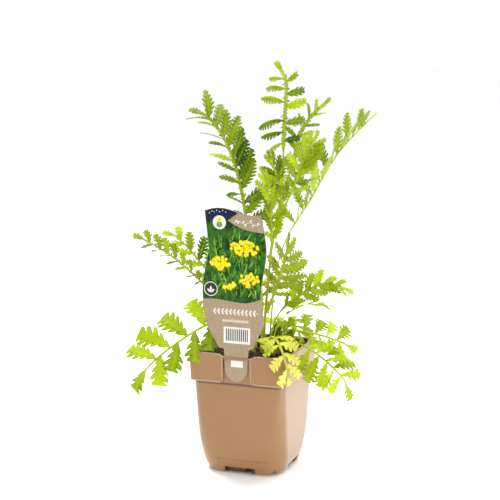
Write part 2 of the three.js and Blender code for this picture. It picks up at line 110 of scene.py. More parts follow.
class Builder:
    """Vertices, faces and vertex notes collected for one mesh object, in millimetres."""

    def __init__(self):
        self.points = []
        self.notes = []
        self.sides = []
        self.faces = []
        self.slots = []
        self.count = 0

    def add(self, points, faces, note=(0, 0, 0, 0), side=0, slot=0):
        """Adds a shell. note is four values for each vertex, and side is 1 on an underside."""
        points = np.asarray(points, float).reshape(-1, 3)
        self.points.append(points)
        self.notes.append(np.broadcast_to(np.asarray(note, float), (len(points), 4)))
        self.sides.append(np.broadcast_to(np.asarray(side, float), (len(points),)))
        for group in faces:
            self.faces.append(np.asarray(group, int) + self.count)
            self.slots.append(np.full(len(group), slot))
        self.count += len(points)

    def make(self, name, materials, crease=None):
        """The mesh object, smooth but for edges sharper than crease degrees."""
        mesh = bpy.data.meshes.new(name)
        points = np.concatenate(self.points) * MM
        mesh.from_pydata(points.tolist(), [], [face for group in self.faces for face in group.tolist()])
        mesh.polygons.foreach_set("material_index", np.concatenate(self.slots))
        mesh.validate()
        note = mesh.attributes.new("growth", "FLOAT_COLOR", "POINT")
        note.data.foreach_set("color", np.concatenate(self.notes).ravel())
        side = mesh.attributes.new("underside", "FLOAT", "POINT")
        side.data.foreach_set("value", np.concatenate(self.sides))
        for material in materials:
            mesh.materials.append(material)
        mesh.polygons.foreach_set("use_smooth", np.ones(len(mesh.polygons), bool))
        if crease is not None:
            mesh.set_sharp_from_angle(angle=math.radians(crease))
        piece = bpy.data.objects.new(name, mesh)
        bpy.context.collection.objects.link(piece)
        return piece


def wall_faces(rows, columns):
    """Quads between rings of vertices."""
    index = np.arange(rows * columns).reshape(rows, columns)
    index = np.hstack([index, index[:, :1]])
    return np.stack([index[:-1, :-1], index[:-1, 1:], index[1:, 1:], index[1:, :-1]], -1).reshape(-1, 4)


def tube_faces(rows, columns):
    """Faces of a tube of rings with its two ends closed by flat faces."""
    ends = [np.arange(columns)[::-1], np.arange((rows - 1) * columns, rows * columns)]
    return [wall_faces(rows, columns)] + [end[None] for end in ends]


def closed_faces(rows, columns):
    """Faces of a wall of rings whose first and last ring close on one point each, the two last points."""
    ring, last = np.arange(columns), rows * columns
    after = np.roll(ring, -1)
    ends = ((last, after, ring), (last + 1, ring + last - columns, after + last - columns))
    return [wall_faces(rows, columns)] + [np.stack(np.broadcast_arrays(*end), -1) for end in ends]


def smooth_step(low, high, value):
    t = np.clip((np.asarray(value, float) - low) / (high - low), 0, 1)
    return t * t * (3 - 2 * t)


def flow_points(points, steps=6):
    """A smooth line through points, open at both ends."""
    points = np.array(points, float)
    padded = np.vstack([2 * points[0] - points[1], points, 2 * points[-1] - points[-2]])
    line = []
    for k in range(1, len(padded) - 2):
        p0, p1, p2, p3 = padded[k - 1:k + 3]
        for j in range(steps):
            t = j / steps
            line.append(0.5 * (2 * p1 + (p2 - p0) * t + (2 * p0 - 5 * p1 + 4 * p2 - p3) * t ** 2
                               + (3 * p1 - p0 - 3 * p2 + p3) * t ** 3))
    line.append(padded[-2])
    return np.array(line)


def arc_quad(start, bend, end, steps=8):
    """A bow from start to end that leans toward bend."""
    t = np.linspace(0, 1, steps + 1)[:, None]
    start, bend, end = (np.array(point, float) for point in (start, bend, end))
    return (1 - t) ** 2 * start + 2 * t * (1 - t) * bend + t ** 2 * end


def disc(x, y, radius, sides=40):
    angle = np.arange(sides) * 2 * math.pi / sides
    return np.stack([x + radius * np.cos(angle), y + radius * np.sin(angle)], -1)


def spin(angle):
    """A turn about the upright axis, for rows of points."""
    cos, sin = math.cos(angle), math.sin(angle)
    return np.array([[cos, sin, 0], [-sin, cos, 0], [0, 0, 1]])


class Noise:
    """Smooth value noise on a repeating lattice, from -1 to 1."""

    side = 64

    def __init__(self, seed):
        self.table = np.random.default_rng(seed).uniform(-1, 1, (self.side, self.side))

    def __call__(self, x, y, cell):
        x, y = np.asarray(x) / cell, np.asarray(y) / cell
        left, low = np.floor(x).astype(int), np.floor(y).astype(int)
        u, v = x - left, y - low
        u, v = u * u * (3 - 2 * u), v * v * (3 - 2 * v)
        a, b = left % self.side, low % self.side
        c, d = (left + 1) % self.side, (low + 1) % self.side
        bottom = self.table[a, b] * (1 - u) + self.table[c, b] * u
        top = self.table[a, d] * (1 - u) + self.table[c, d] * u
        return bottom * (1 - v) + top * v


def ride_on_root(piece, slot_name, *nodes):
    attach(piece, "root")
    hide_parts(*nodes)
    return piece


# Shader making

class Output:
    """A node's output, which takes plain arithmetic."""

    def __init__(self, shader, socket):
        self.shader = shader
        self.socket = socket

    def __add__(self, other):
        return self.shader.math("ADD", self, other)

    def __sub__(self, other):
        return self.shader.math("SUBTRACT", self, other)

    def __rsub__(self, other):
        return self.shader.math("SUBTRACT", other, self)

    def __mul__(self, other):
        return self.shader.math("MULTIPLY", self, other)

    def __abs__(self):
        return self.shader.math("ABSOLUTE", self)

    def or_more(self, other):
        return self.shader.math("MAXIMUM", self, other)

    def remap(self, low, high, to_low=0.0, to_high=1.0):
        """Goes softly from one value, at low, to another, at high."""
        inputs = {"Value": self, "From Min": low, "From Max": high, "To Min": to_low, "To Max": to_high}
        return self.shader.node("ShaderNodeMapRange", "Result", inputs, interpolation_type="SMOOTHSTEP")


class Shader:
    """A node material built by short calls."""

    def __init__(self, name):
        self.material = bpy.data.materials.new(name)
        self.material.use_nodes = True
        self.tree = self.material.node_tree
        self.place = self.node("ShaderNodeTexCoord", "Object")

    def feed(self, socket, value):
        """Joins an output to a socket, or sets the socket's own number or colour."""
        if isinstance(value, Output):
            self.tree.links.new(value.socket, socket)
        elif socket.type == "RGBA":
            socket.default_value = (*value, 1)
        else:
            socket.default_value = value

    def node(self, kind, output, inputs=None, **settings):
        """One output of a new node with these settings and inputs."""
        made = self.tree.nodes.new(kind)
        for key, value in settings.items():
            setattr(made, key, value)
        for key, value in (inputs or {}).items():
            self.feed(made.inputs[key], value)
        return Output(self, made.outputs[output])

    def noise(self, scale, detail=3, rough=0.5, stretch=None):
        """Noise of a size in waves per metre, from 0 to 1."""
        place = self.place
        if stretch:
            place = self.node("ShaderNodeMapping", "Vector", {"Scale": stretch, "Vector": place})
        inputs = {"Vector": place, "Scale": scale, "Detail": detail, "Roughness": rough}
        return self.node("ShaderNodeTexNoise", "Fac", inputs)

    def axis(self, name):
        """A coordinate in millimetres."""
        return self.node("ShaderNodeSeparateXYZ", name, {"Vector": self.place}) * (1 / MM)

    def math(self, operation, *values):
        return self.node("ShaderNodeMath", "Value", dict(enumerate(values)), operation=operation)

    def mix(self, factor, first, second):
        return self.node("ShaderNodeMix", 2, {"Factor": factor, 6: first, 7: second}, data_type="RGBA")

    def coats(self, colour, *coats):
        """A colour with other colours over it, each with its own share."""
        for share, tint in coats:
            colour = self.mix(share, colour, tint)
        return colour

    def bump(self, height, distance, strength=1.0, normal=None):
        """Relief of a depth in millimetres, over an earlier one."""
        inputs = {"Strength": strength, "Distance": distance * MM, "Height": height}
        if normal:
            inputs["Normal"] = normal
        return self.node("ShaderNodeBump", "Normal", inputs)

    def finish(self, colour, roughness, normal=None, specular=0.5, through=None, share=0.0, sheen=0.0):
        """Closes the material. through is the colour of the light that comes through, by a share."""
        surface = self.tree.nodes["Principled BSDF"]
        inputs = {"Base Color": colour, "Roughness": roughness, "Specular IOR Level": specular,
                  "Sheen Weight": sheen, "Sheen Roughness": 0.3}
        if normal:
            inputs["Normal"] = normal
        for key, value in inputs.items():
            self.feed(surface.inputs[key], value)
        if through:
            light = self.node("ShaderNodeBsdfTranslucent", "BSDF", {"Color": through})
            inputs = {"Fac": share, 1: Output(self, surface.outputs["BSDF"]), 2: light}
            blend = self.node("ShaderNodeMixShader", "Shader", inputs)
            self.feed(self.tree.nodes["Material Output"].inputs["Surface"], blend)
        return self.material


# Leaf colours: dark, light and faded, and where along a frond the fading begins and is full
LEAF_GREEN = ((0.03, 0.11, 0.0004), (0.61, 0.755, 0.008), (0.60, 0.68, 0.03), 0.8, 1.6)
LEAF_FADING = ((0.40, 0.50, 0.003), (0.70, 0.72, 0.02), (0.90, 0.84, 0.17), 0.3, 0.9)
LEAF_RIB = (0.50, 0.60, 0.04)
# Painted shade: dark leaflet edges, darkest in the notches between lobes
LEAF_RIM_SHADE = (0.02, 0.07, 0.0005)
LEAF_UNDER = (0.42, 0.50, 0.10)
LEAF_GLOW = (0.6, 0.75, 0.01)
STALK_GREEN = (0.43, 0.52, 0.03)
STALK_PALE = (0.60, 0.65, 0.07)


def leaf_material(name, dark, light, fading, fade_start, fade_end):
    """Leaf tissue. A vertex note is tone, place from rib to edge, place along the frond, blade or stalk."""
    shader = Shader(name)
    note = shader.node("ShaderNodeAttribute", "Color", attribute_name="growth")
    tone, edge, along = (shader.node("ShaderNodeSeparateColor", k, {"Color": note}) for k in range(3))
    blade = shader.node("ShaderNodeAttribute", "Alpha", attribute_name="growth")
    under = shader.node("ShaderNodeAttribute", "Fac", attribute_name="underside")
    patch = shader.noise(55)
    fine = shader.noise(900)
    colour = shader.coats(
        shader.mix(tone + (patch * 0.55 + fine * 0.3) - 0.42, dark, light),
        ((along + (patch - 0.5) * 0.5).remap(fade_start, fade_end), fading),
        (edge.remap(0.16, 0) * blade * 0.45, LEAF_RIB),
        # painted shade at the leaflet edges, deepest in the notches between lobes
        (edge.remap(0.4, 0.95) * blade * 0.85, LEAF_RIM_SHADE),
        (under * 0.35, LEAF_UNDER),
    )
    stalk = shader.mix(patch.remap(0.35, 0.7), STALK_GREEN, STALK_PALE)
    colour = shader.mix(blade.remap(0.3, 0.7), stalk, colour)
    relief = shader.bump(shader.noise(2600, 2), 0.12, 0.5)
    rough = fine.remap(0.2, 0.8, 0.42, 0.58)
    return shader.finish(colour, rough, relief, 0.1, shader.mix(0.5, colour, LEAF_GLOW), 0.24)


def pocket_edge(shader):
    """Distance past the pocket's side edge, below 0 inside the pocket."""
    low = (SKIRT_BOTTOM + POCKET_FLARE - shader.axis("Z")).or_more(0)
    return abs(shader.axis("X")) - (low * low * (1 / POCKET_FLARE) + POCKET_HALF)


def near_line(distance, middle, reach):
    """1 on a line at a distance from an edge, and 0 past its reach."""
    return abs(distance - middle).remap(0.25 * reach, reach, 1, 0)


def on_front(shader):
    """1 on the front of the rim below its strap."""
    height = shader.axis("Z")
    front = shader.axis("Y").remap(-51, -50.5, 1, 0)
    return front * height.remap(128.5, 130, 1, 0) * height.remap(100.5, 101)


def side_distance(shader):
    """Distance from the pot's middle to a side of the square through a place."""
    return abs(shader.axis("X")).or_more(abs(shader.axis("Y")))


def rim_shade(shader):
    """Shadow lines under the rim's skirt, along the pocket's side edges and behind the foot."""
    side, height = side_distance(shader), shader.axis("Z")
    under = height.remap(97.2, 99.8, 0, 0.85) * side.remap(50.7, 51, 1, 0)
    behind_foot = side.remap(37.8, 38.4, 1, 0) * height.remap(6.6, 7.6, 0.8, 0)
    pocket = near_line(pocket_edge(shader), -0.2, 0.9) * on_front(shader) * 0.75
    return under.or_more(pocket).or_more(behind_foot)


def rim_painted_highlight(shader):
    """Painted highlights: pale lines along the skirt's lower edge and just outside the pocket's edges, where
    their rounded edges catch the light.
    """
    edge = near_line(shader.axis("Z"), 101.9, 1.1) * side_distance(shader).remap(53, 53.5)
    pocket = near_line(pocket_edge(shader), 1.1, 0.9) * on_front(shader)
    return edge.or_more(pocket) * 0.5


def mould_crease_shade(shader):
    """Painted shade of a faint crease line and two dots low on the pot's front, left by its mould."""
    across, height = abs(shader.axis("X")), shader.axis("Z")
    line = near_line(height, MARK_HEIGHT, 0.7) * across.remap(33, 35, 0.45, 0)
    beside, above = across - MARK_SPREAD, height - MARK_HEIGHT
    dots = shader.math("SQRT", beside * beside + above * above).remap(0.8, 1.4, 0.8, 0)
    return line.or_more(dots) * shader.axis("Y").remap(-35, -34, 1, 0)


def pot_material():
    shader = Shader("pot_plastic")
    broad = shader.noise(14)
    fine = shader.noise(420, 4)
    streaks = shader.noise(55, 2, stretch=(1, 1, 0.06))
    colour = shader.coats(
        shader.mix(broad.remap(0.3, 0.7), (0.298, 0.147, 0.049), (0.332, 0.168, 0.06)),
        (fine.remap(0.62, 0.8, 0, 0.35), (0.43, 0.26, 0.12)),
        (streaks.remap(0.4, 0.8, 0, 0.25), (0.28, 0.143, 0.049)),
        # painted highlight: pale lines on the skirt's lower edge and beside the pocket's edges
        (rim_painted_highlight(shader), (0.56, 0.36, 0.19)),
        (rim_shade(shader), (0.06, 0.024, 0.006)),
        # painted shade of a faint crease line and two dots low on the front
        (mould_crease_shade(shader), (0.16, 0.07, 0.02)),
    )
    relief = shader.bump(broad, 0.5, 0.35, shader.bump(shader.noise(3800, 2), 0.03, 0.6))
    return shader.finish(colour, fine.remap(0.25, 0.8, 0.36, 0.5), relief, 0.6, sheen=1.0)


def soil_material():
    shader = Shader("soil_peat")
    fine = shader.noise(700, 4, 0.65)
    colour = shader.mix(shader.noise(70, 4).remap(0.35, 0.65), (0.012, 0.007, 0.004), (0.034, 0.019, 0.009))
    colour = shader.mix(fine.remap(0.5, 0.72), colour, (0.075, 0.042, 0.02))
    relief = shader.bump(shader.noise(2600), 0.3, 0.8, shader.bump(fine, 0.8))
    return shader.finish(colour, 0.93, relief, 0.25)


def plain_material(name, colour, other, scale, roughness=0.55, relief_depth=0.0, specular=0.15):
    """Surface of two near colours in a fine mottle."""
    shader = Shader(name)
    mottle = shader.noise(scale, 4, 0.6)
    mixed = shader.mix(mottle.remap(0.35, 0.65), colour, other)
    return shader.finish(mixed, roughness, shader.bump(mottle, relief_depth, 0.5), specular)


# Pot

def rounded(profile, radius):
    """A profile of (height, half, corner) points with arcs of the given radius at its sharp bends."""
    made = [profile[0]]
    points = np.array(profile, float)
    for before, here, after in zip(points[:-2], points[1:-1], points[2:]):
        arm_in, arm_out = before - here, after - here
        long_in, long_out = np.hypot(*arm_in[:2]), np.hypot(*arm_out[:2])
        straight = np.dot(arm_in[:2], arm_out[:2]) / (long_in * long_out)
        reach = min(radius, 0.45 * long_in, 0.45 * long_out)
        if straight < -0.94:
            made.append(tuple(here))
            continue
        start, end = here + arm_in * reach / long_in, here + arm_out * reach / long_out
        made += [tuple(point) for point in arc_quad(start, here, end, 3)]
    made.append(profile[-1])
    return made


# How far the skirt stands out, and how far where the pocket is pressed in
SKIRT_DEPTHS = (52.2, 52.6, 53.8, 55)
POCKET_DEPTHS = (50.55, 50.95, 51.46, POCKET_FACE)

EDGE_PLACES = [0, 3, 6, 9, 11.5, 13.2, 14, 14.4, 14.8, 15.3, 16, 16.8, 17.2, 17.5, 17.8, 18.3, 19, 20]
OUTER_STEPS = 5
CORNER_STEPS = 8


def perimeter(half, corner):
    """Points round a square with round corners, with the same columns at every size, and each one's side."""
    flat = half - corner
    last = EDGE_PLACES[-1]
    start = max(flat, last + 1)
    outer = [last + (start - last) * (j + 1) / OUTER_STEPS for j in range(OUTER_STEPS)]
    run = np.array(EDGE_PLACES + outer)
    along = np.concatenate([-run[:0:-1], run])
    first = math.asin((start - flat) / corner)
    turn = np.linspace(first, math.pi / 2 - first, CORNER_STEPS + 1)[1:-1]
    past = np.maximum(np.abs(along) - flat, 0)
    side_x = np.concatenate([along, flat + corner * np.sin(turn)])
    side_y = np.concatenate([-flat - np.sqrt(corner ** 2 - past ** 2), -flat - corner * np.cos(turn)])
    rows = []
    for quarter in range(4):
        angle = quarter * math.pi / 2
        x = side_x * math.cos(angle) - side_y * math.sin(angle)
        y = side_x * math.sin(angle) + side_y * math.cos(angle)
        rows.append(np.stack([x, y, np.full(len(x), quarter), side_x], -1))
    return np.concatenate(rows)


def pot_point_rows(profile):
    """Rings of the profile, with the foot's notches and the tag's pocket and dip pressed in."""
    rows = []
    for height, half, corner, kind in profile:
        column = perimeter(half, corner)
        x, y, quarter, along = column.T
        z = np.full(len(x), float(height))
        near = np.abs(along)
        in_notch = 1 - smooth_step(NOTCH_HALF - 0.3, NOTCH_HALF + 0.3, near)
        if kind == "wall" and height < NOTCH_TOP + 1:
            lifted = NOTCH_TOP + height * 0.12
            z = z + in_notch * np.maximum(lifted - z, 0)
        if kind == "skirt":
            flare = POCKET_FLARE * np.clip((SKIRT_BOTTOM + POCKET_FLARE - z) / POCKET_FLARE, 0, 1) ** 2
            edge = POCKET_HALF + flare
            pocket = (1 - smooth_step(edge - 0.4, edge + 0.5, near)) * (quarter == 0)
            pressed = -np.interp(-y, SKIRT_DEPTHS, POCKET_DEPTHS)
            y = y + pocket * (pressed - y)
        dip = (1 - smooth_step(POCKET_HALF - 1, DIP_HALF + 1.5, near)) * (quarter == 0)
        z = z - dip * DIP_DEPTH * smooth_step(SOIL_TOP - 4, RIM_TOP - 1, z) * (kind != "floor")
        rows.append(np.stack([x, y, z], -1))
    return rows


def pot_profile():
    """The whole pot's section, from the middle of its floor's underside out and round to the floor's top."""
    foot, top = BODY_SECTIONS[0], BODY_SECTIONS[-1]
    foot_inside = (foot[1] - WALL, foot[2] - WALL)
    under = [(FLOOR_UNDER, foot_inside[0] - 1, foot_inside[1])]
    under += [(height, *foot_inside) for height in (FLOOR_UNDER, 2, 0)] + [foot]
    wall = [tuple(ring) for ring in flow_points(BODY_SECTIONS, 4)[1:]]
    skirt = RIM_HALF - SKIRT_TAPER
    flange = RIM_TOP - WALL
    skirt_line = [(SKIRT_BOTTOM, skirt), (103, skirt + 0.1), (106, skirt + 0.2),
                  (118, (RIM_HALF + skirt) / 2)]
    rim = [(flange, top[1] + WALL, top[2]), (flange, RIM_HALF - WALL, RIM_CORNER - WALL)]
    rim += [(height, half - WALL, RIM_CORNER - WALL) for height, half in skirt_line[::-1]]
    skirt_line.append((RIM_TOP - 0.2, RIM_HALF))
    rim += [(height, half, RIM_CORNER) for height, half in skirt_line]
    lip = [(RIM_TOP, RIM_HALF - 0.9, RIM_CORNER - 0.9), (RIM_TOP, top[1] + 0.4, top[2] - 0.4)]
    inner = [(RIM_TOP - 0.9, top[1] - WALL + 0.5, top[2] - 0.7)]
    inner += [(height, half - WALL, corner - WALL) for height, half, corner in BODY_SECTIONS[:2:-1]]
    edge = (BODY_SECTIONS[2][1] - WALL, BODY_SECTIONS[2][2] - WALL)
    floor = [(FLOOR_TOP + 2, *edge), (FLOOR_TOP, edge[0] - 2, edge[1] - 2)]
    stretches = {"wall": under + wall, "skirt": rounded(rim, 0.8), "lip": lip, "inner": rounded(inner, 1),
                 "floor": floor}
    return [(*ring, kind) for kind, rings in stretches.items() for ring in rings]


def cut(piece, points, faces, operation):
    """Joins a shape to piece or cuts it away."""
    builder = Builder()
    builder.add(points, faces)
    tool = builder.make("tool", [])
    change = piece.modifiers.new("cut", "BOOLEAN")
    change.operation = operation
    change.solver = "MANIFOLD"
    change.object = tool
    bpy.context.view_layer.objects.active = piece
    with bpy.context.temp_override(object=piece, active_object=piece, selected_objects=[piece]):
        bpy.ops.object.modifier_apply(modifier=change.name)
    bpy.data.objects.remove(tool)


def soft_box(low, high, radius, turn=0):
    """A box with rounded edges, as a builder's points and faces."""
    low, high = np.array(low, float), np.array(high, float)
    centre, size = (low + high) / 2, (high - low) / 2
    radius = min(radius, *(size * 0.9))
    rows = []
    for z, at_end in ((-1, 1), (-1, 0), (1, 0), (1, 1)):
        ring = []
        for sx, sy in ((-1, -1), (1, -1), (1, 1), (-1, 1)):
            for dx, dy in (((1, 0), (0, 1)) if sx * sy > 0 else ((0, 1), (1, 0))):
                shrink = radius * 0.3 * at_end
                ring.append([sx * (size[0] - dx * radius - shrink), sy * (size[1] - dy * radius - shrink),
                             z * (size[2] - radius * (1 - at_end))])
        rows.append(ring)
    points = np.array(rows).reshape(-1, 3)
    return (points + centre) @ spin(math.radians(turn)), tube_faces(4, 8)


def round_bar(radius, low, high, x, y, sides=40):
    ring = disc(x, y, radius, sides)
    points = np.concatenate([np.column_stack([ring, np.full(sides, z)]) for z in (low, high)])
    return points, tube_faces(2, sides)


def make_pot():
    rows = pot_point_rows(pot_profile())
    points = np.concatenate(rows + [[[0, 0, FLOOR_UNDER], [0, 0, FLOOR_TOP]]])
    builder = Builder()
    builder.add(points, closed_faces(len(rows), len(rows[0])))
    pot = builder.make("pot_shell", [pot_material()])
    reach, top, half, thin = POCKET_HALF + 1.2, FLOOR_UNDER + FLOOR_SINK, RIB_LENGTH / 2, RIB_THICKNESS / 2
    inside = RIB_THICKNESS - CURTAIN_FACE
    joined = [soft_box((-reach, -STRAP_FRONT, STRAP_BOTTOM),
                       (reach, -STRAP_FRONT + STRAP_THICKNESS, RIM_TOP - DIP_DEPTH), 0.45),
              round_bar(HUB_RADIUS, 0, top, 0, 0)]
    joined += [soft_box((-half, -thin, RIB_CLEAR), (half, thin, top), 0.3, turn) for turn in (45, 135)]
    joined += [soft_box((near, -CURTAIN_FACE, CURTAIN_CLEAR), (far, inside, top), 0.3, turn)
               for near, far in CURTAIN_STRETCHES for turn in (0, 90, 180, 270)]
    holes = [round_bar(DRAIN_RADIUS, FLOOR_UNDER - 3, FLOOR_TOP + 3, x, y, 24)
             for x, y in disc(0, 0, DRAIN_CIRCLE, 4)]
    for shape in joined:
        cut(pot, *shape, "UNION")
    for hole in holes:
        cut(pot, *hole, "DIFFERENCE")
    pot.data.set_sharp_from_angle(angle=math.radians(40))
    return ride_on_root(pot, "pot", "pot")


# Soil

def crumb(rng, centre, size, flat=0.7):
    """A lump: a coarse ball with its corners pushed about."""
    rows, columns = 5, 7
    polar = np.linspace(0, math.pi, rows + 2)[1:-1]
    turn = np.arange(columns) * 2 * math.pi / columns
    ring = np.stack([np.outer(np.sin(polar), np.cos(turn)), np.outer(np.sin(polar), np.sin(turn)),
                     np.outer(np.cos(polar), np.ones(columns))], -1).reshape(-1, 3)
    ball = np.vstack([ring, [0, 0, 1], [0, 0, -1]])
    ball *= rng.uniform(0.7, 1.25, (len(ball), 1))
    ball *= size * np.array([rng.uniform(0.8, 1.3), rng.uniform(0.7, 1.1), flat * rng.uniform(0.7, 1.1)])
    angle = rng.uniform(0, 2 * math.pi)
    tilt = rng.uniform(-0.6, 0.6)
    pose = Matrix.Rotation(angle, 3, "Z") @ Matrix.Rotation(tilt, 3, "X")
    return ball @ np.array(pose).T + centre, [group[:, ::-1] for group in closed_faces(rows, columns)]


def fibre(rng, centre, length, thick):
    """A bent thread of peat or a bark splinter."""
    angle = rng.uniform(0, 2 * math.pi)
    t = np.linspace(-0.5, 0.5, 6)
    bend = rng.uniform(-0.35, 0.35) * length
    line = np.stack([t * length, bend * (t ** 2 * 4 - 0.5), rng.uniform(-0.1, 0.1) * length * t + thick], -1)
    line = line @ spin(angle) + centre
    corners = thick * np.array([[0, 1], [-0.87, -0.5], [0.87, -0.5]])
    across = spin(angle)[1]
    taper = 1 - (np.abs(t) * 2) ** 3 * 0.7
    rows = [point + k * (across * a + np.array([0, 0, b]))
            for point, k in zip(line, taper) for a, b in corners]
    return np.array(rows), tube_faces(len(t), 3)


def soil_height(x, y):
    broad, middle, small = Noise(SEED + 1), Noise(SEED + 2), Noise(SEED + 3)
    height = 1.5 * broad(x + 300, y + 300, 17) + 1.3 * middle(x + 300, y + 300, 5.5)
    return SOIL_TOP + height + 0.9 * small(x + 300, y + 300, 2.1) + 0.45 * small(y + 300, x + 300, 1)


def square_reach(half, corner, cos, sin):
    """Distance from the middle to the side of a square with round corners, in each direction."""
    long, short = np.maximum(np.abs(cos), np.abs(sin)), np.minimum(np.abs(cos), np.abs(sin))
    flat = half - corner
    middle = flat * (long + short)
    bend = middle + np.sqrt(np.maximum(middle ** 2 - 2 * flat ** 2 + corner ** 2, 0))
    return np.where(short * half / long < flat, half / long, bend)


def make_soil():
    rng = np.random.default_rng(SEED + 4)
    top_section = BODY_SECTIONS[-1]
    half, corner = top_section[1] - WALL - 2 * SOIL_GAP, top_section[2] - WALL
    rings, columns = SOIL_RINGS, SOIL_COLUMNS
    turn = np.arange(columns) * 2 * math.pi / columns
    cos, sin = np.cos(turn), np.sin(turn)
    reach = square_reach(half, corner, cos, sin)
    share = np.linspace(1, 0.02, rings)
    x, y = np.outer(share, reach * cos), np.outer(share, reach * sin)
    z = soil_height(x, y)
    z[0] -= 1.2
    top = np.stack([x, y, z], -1).reshape(-1, 3)
    lower = []
    for height, section_half, section_corner in BODY_SECTIONS[2:7]:
        inside = WALL + SOIL_GAP + (1.5 if height < 10 else 0)
        low_reach = square_reach(section_half - inside, section_corner - inside, cos, sin)
        level = np.full(columns, max(height, SOIL_FOOT))
        lower.append(np.stack([low_reach * cos, low_reach * sin, level], -1))
    points = np.concatenate(lower + [top, [[0, 0, SOIL_FOOT], [0, 0, soil_height(0, 0)]]])
    builder = Builder()
    builder.add(points, closed_faces(len(lower) + rings, columns))
    spots = rng.uniform(-half + 2, half - 2, (CRUMBS, 2))
    sizes = rng.gamma(2.2, 0.5, CRUMBS).clip(0.4, 2.8)
    for (sx, sy), size in zip(spots, sizes):
        centre = np.array([sx, sy, soil_height(sx, sy) + 0.1 * size])
        builder.add(*crumb(rng, centre, size), slot=0 if rng.random() < 0.8 else 1)
    for sx, sy in rng.uniform(-half + 5, half - 5, (FIBRES, 2)):
        centre = np.array([sx, sy, soil_height(sx, sy) + 0.4])
        builder.add(*fibre(rng, centre, rng.uniform(4, 14), rng.uniform(0.16, 0.5)), slot=rng.integers(1, 3))
    for sx, sy in rng.uniform(-half + 3, half - 3, (GRAINS, 2)):
        centre = np.array([sx, sy, soil_height(sx, sy) + 0.3])
        builder.add(*crumb(rng, centre, rng.uniform(0.5, 1.1), 0.9), slot=3)
    materials = [
        soil_material(),
        plain_material("bark_crumbs", (0.09, 0.045, 0.02), (0.16, 0.085, 0.04), 900, 0.85, 0.3, 0.3),
        plain_material("peat_fibres", (0.2, 0.12, 0.06), (0.12, 0.07, 0.035), 900, 0.85, 0.1, 0.3),
        plain_material("perlite_grains", (0.62, 0.58, 0.5), (0.75, 0.72, 0.66), 1500, 0.8, 0.2, 0.3),
    ]
    return ride_on_root(builder.make("soil_bed", materials, 50), "soil", "soil")


# Tag. Its outline and its print are drawn in x and z

TAG_RIGHT = [(31, 168), (28, 184), (27, 198), (29, 214), (32, 231), (33, 245), (31, 261), (27, 280)]
TAG_TOP = [(27, 280), (12, 280), (0, 283), (-12, 286), (-24, 286), (-35, 283)]
TAG_LEFT = [(-35, 283), (-32, 257), (-30.5, 243), (-34, 227), (-37, 209), (-38, 193), (-36.5, 178),
            (-33, 162)]


def tag_outline():
    return np.concatenate([
        arc_quad((-0.5, 103.5), (9, 103.5), (12, 115)), [(13.2, 138), (18, 140)],
        flow_points(TAG_RIGHT), flow_points(TAG_TOP)[1:], flow_points(TAG_LEFT)[1:],
        [(-20, 139), (-14, 138), (-13, 115)], arc_quad((-13, 115), (-10, 103.5), (-0.5, 103.5))[1:-1],
    ])


def goes_left(outline):
    after = np.roll(outline, -1, 0)
    return np.sum(outline[:, 0] * after[:, 1] - outline[:, 1] * after[:, 0]) > 0


def slab(outline, front, back):
    """A flat plate with the given outline, between two distances in front of the pot's axis."""
    outline = np.asarray(outline, float)
    outline = outline if goes_left(outline) else outline[::-1]
    count = len(outline)
    points = np.concatenate([np.column_stack([outline[:, 0], np.full(count, -y), outline[:, 1]])
                             for y in (front, back)])
    flat = [Vector((x, z, 0)) for x, z in outline]
    face = np.array(tessellate_polygon([flat]))
    corners = outline[face]
    wrong = np.linalg.det(corners[:, 1:] - corners[:, :1]) < 0
    face[wrong] = face[wrong][:, ::-1]
    return points, [face, face[:, ::-1] + count, wall_faces(2, count)[:, ::-1]]


def inset(outline, distance):
    """An outline moved in by a small distance."""
    outline = np.asarray(outline, float)
    way = np.roll(outline, -1, 0) - np.roll(outline, 1, 0)
    way /= np.linalg.norm(way, axis=1)[:, None] + 1e-9
    inward = np.stack([-way[:, 1], way[:, 0]], -1) * (1 if goes_left(outline) else -1)
    return outline + inward * distance


def rosette(x, z, radius, turn=0.0):
    """A flower seen from the front, with round petals."""
    angle = np.arange(PETALS * 6) * 2 * math.pi / (PETALS * 6)
    reach = radius * (0.62 + 0.38 * np.abs(np.cos(angle * PETALS / 2 + turn)) ** 0.7)
    return np.stack([x + reach * np.cos(angle), z + reach * np.sin(angle)], -1)


def blade_outline(x, z, length, width, turn):
    """A lens-shaped leaf that starts at a point."""
    t = np.linspace(0, 1, 7)
    half = width / 2 * np.sin(math.pi * t) ** 0.8
    under, over = np.stack([t * length, -half], -1), np.stack([t * length, half], -1)
    line = np.concatenate([under, over[-2:0:-1]])
    return line @ spin(turn)[:2, :2] + np.array([x, z])


def between(low, high):
    """The tag's side lines between two heights, right side going up and left side going down."""
    right = flow_points(TAG_RIGHT)
    left = flow_points(TAG_LEFT)
    return right[(right[:, 1] > low) & (right[:, 1] < high)], left[(left[:, 1] > low) & (left[:, 1] < high)]


# Printed flower heads: middle, half width, half height and number of flowers
FLOWER_HEADS = [(9, 246, 15, 7.5, 54), (-18, 229, 10, 6.5, 32), (14, 213, 10, 7.5, 32), (-8, 206, 7, 4, 13)]
GRASS_BLADES = 150
PANEL_BARS = 12

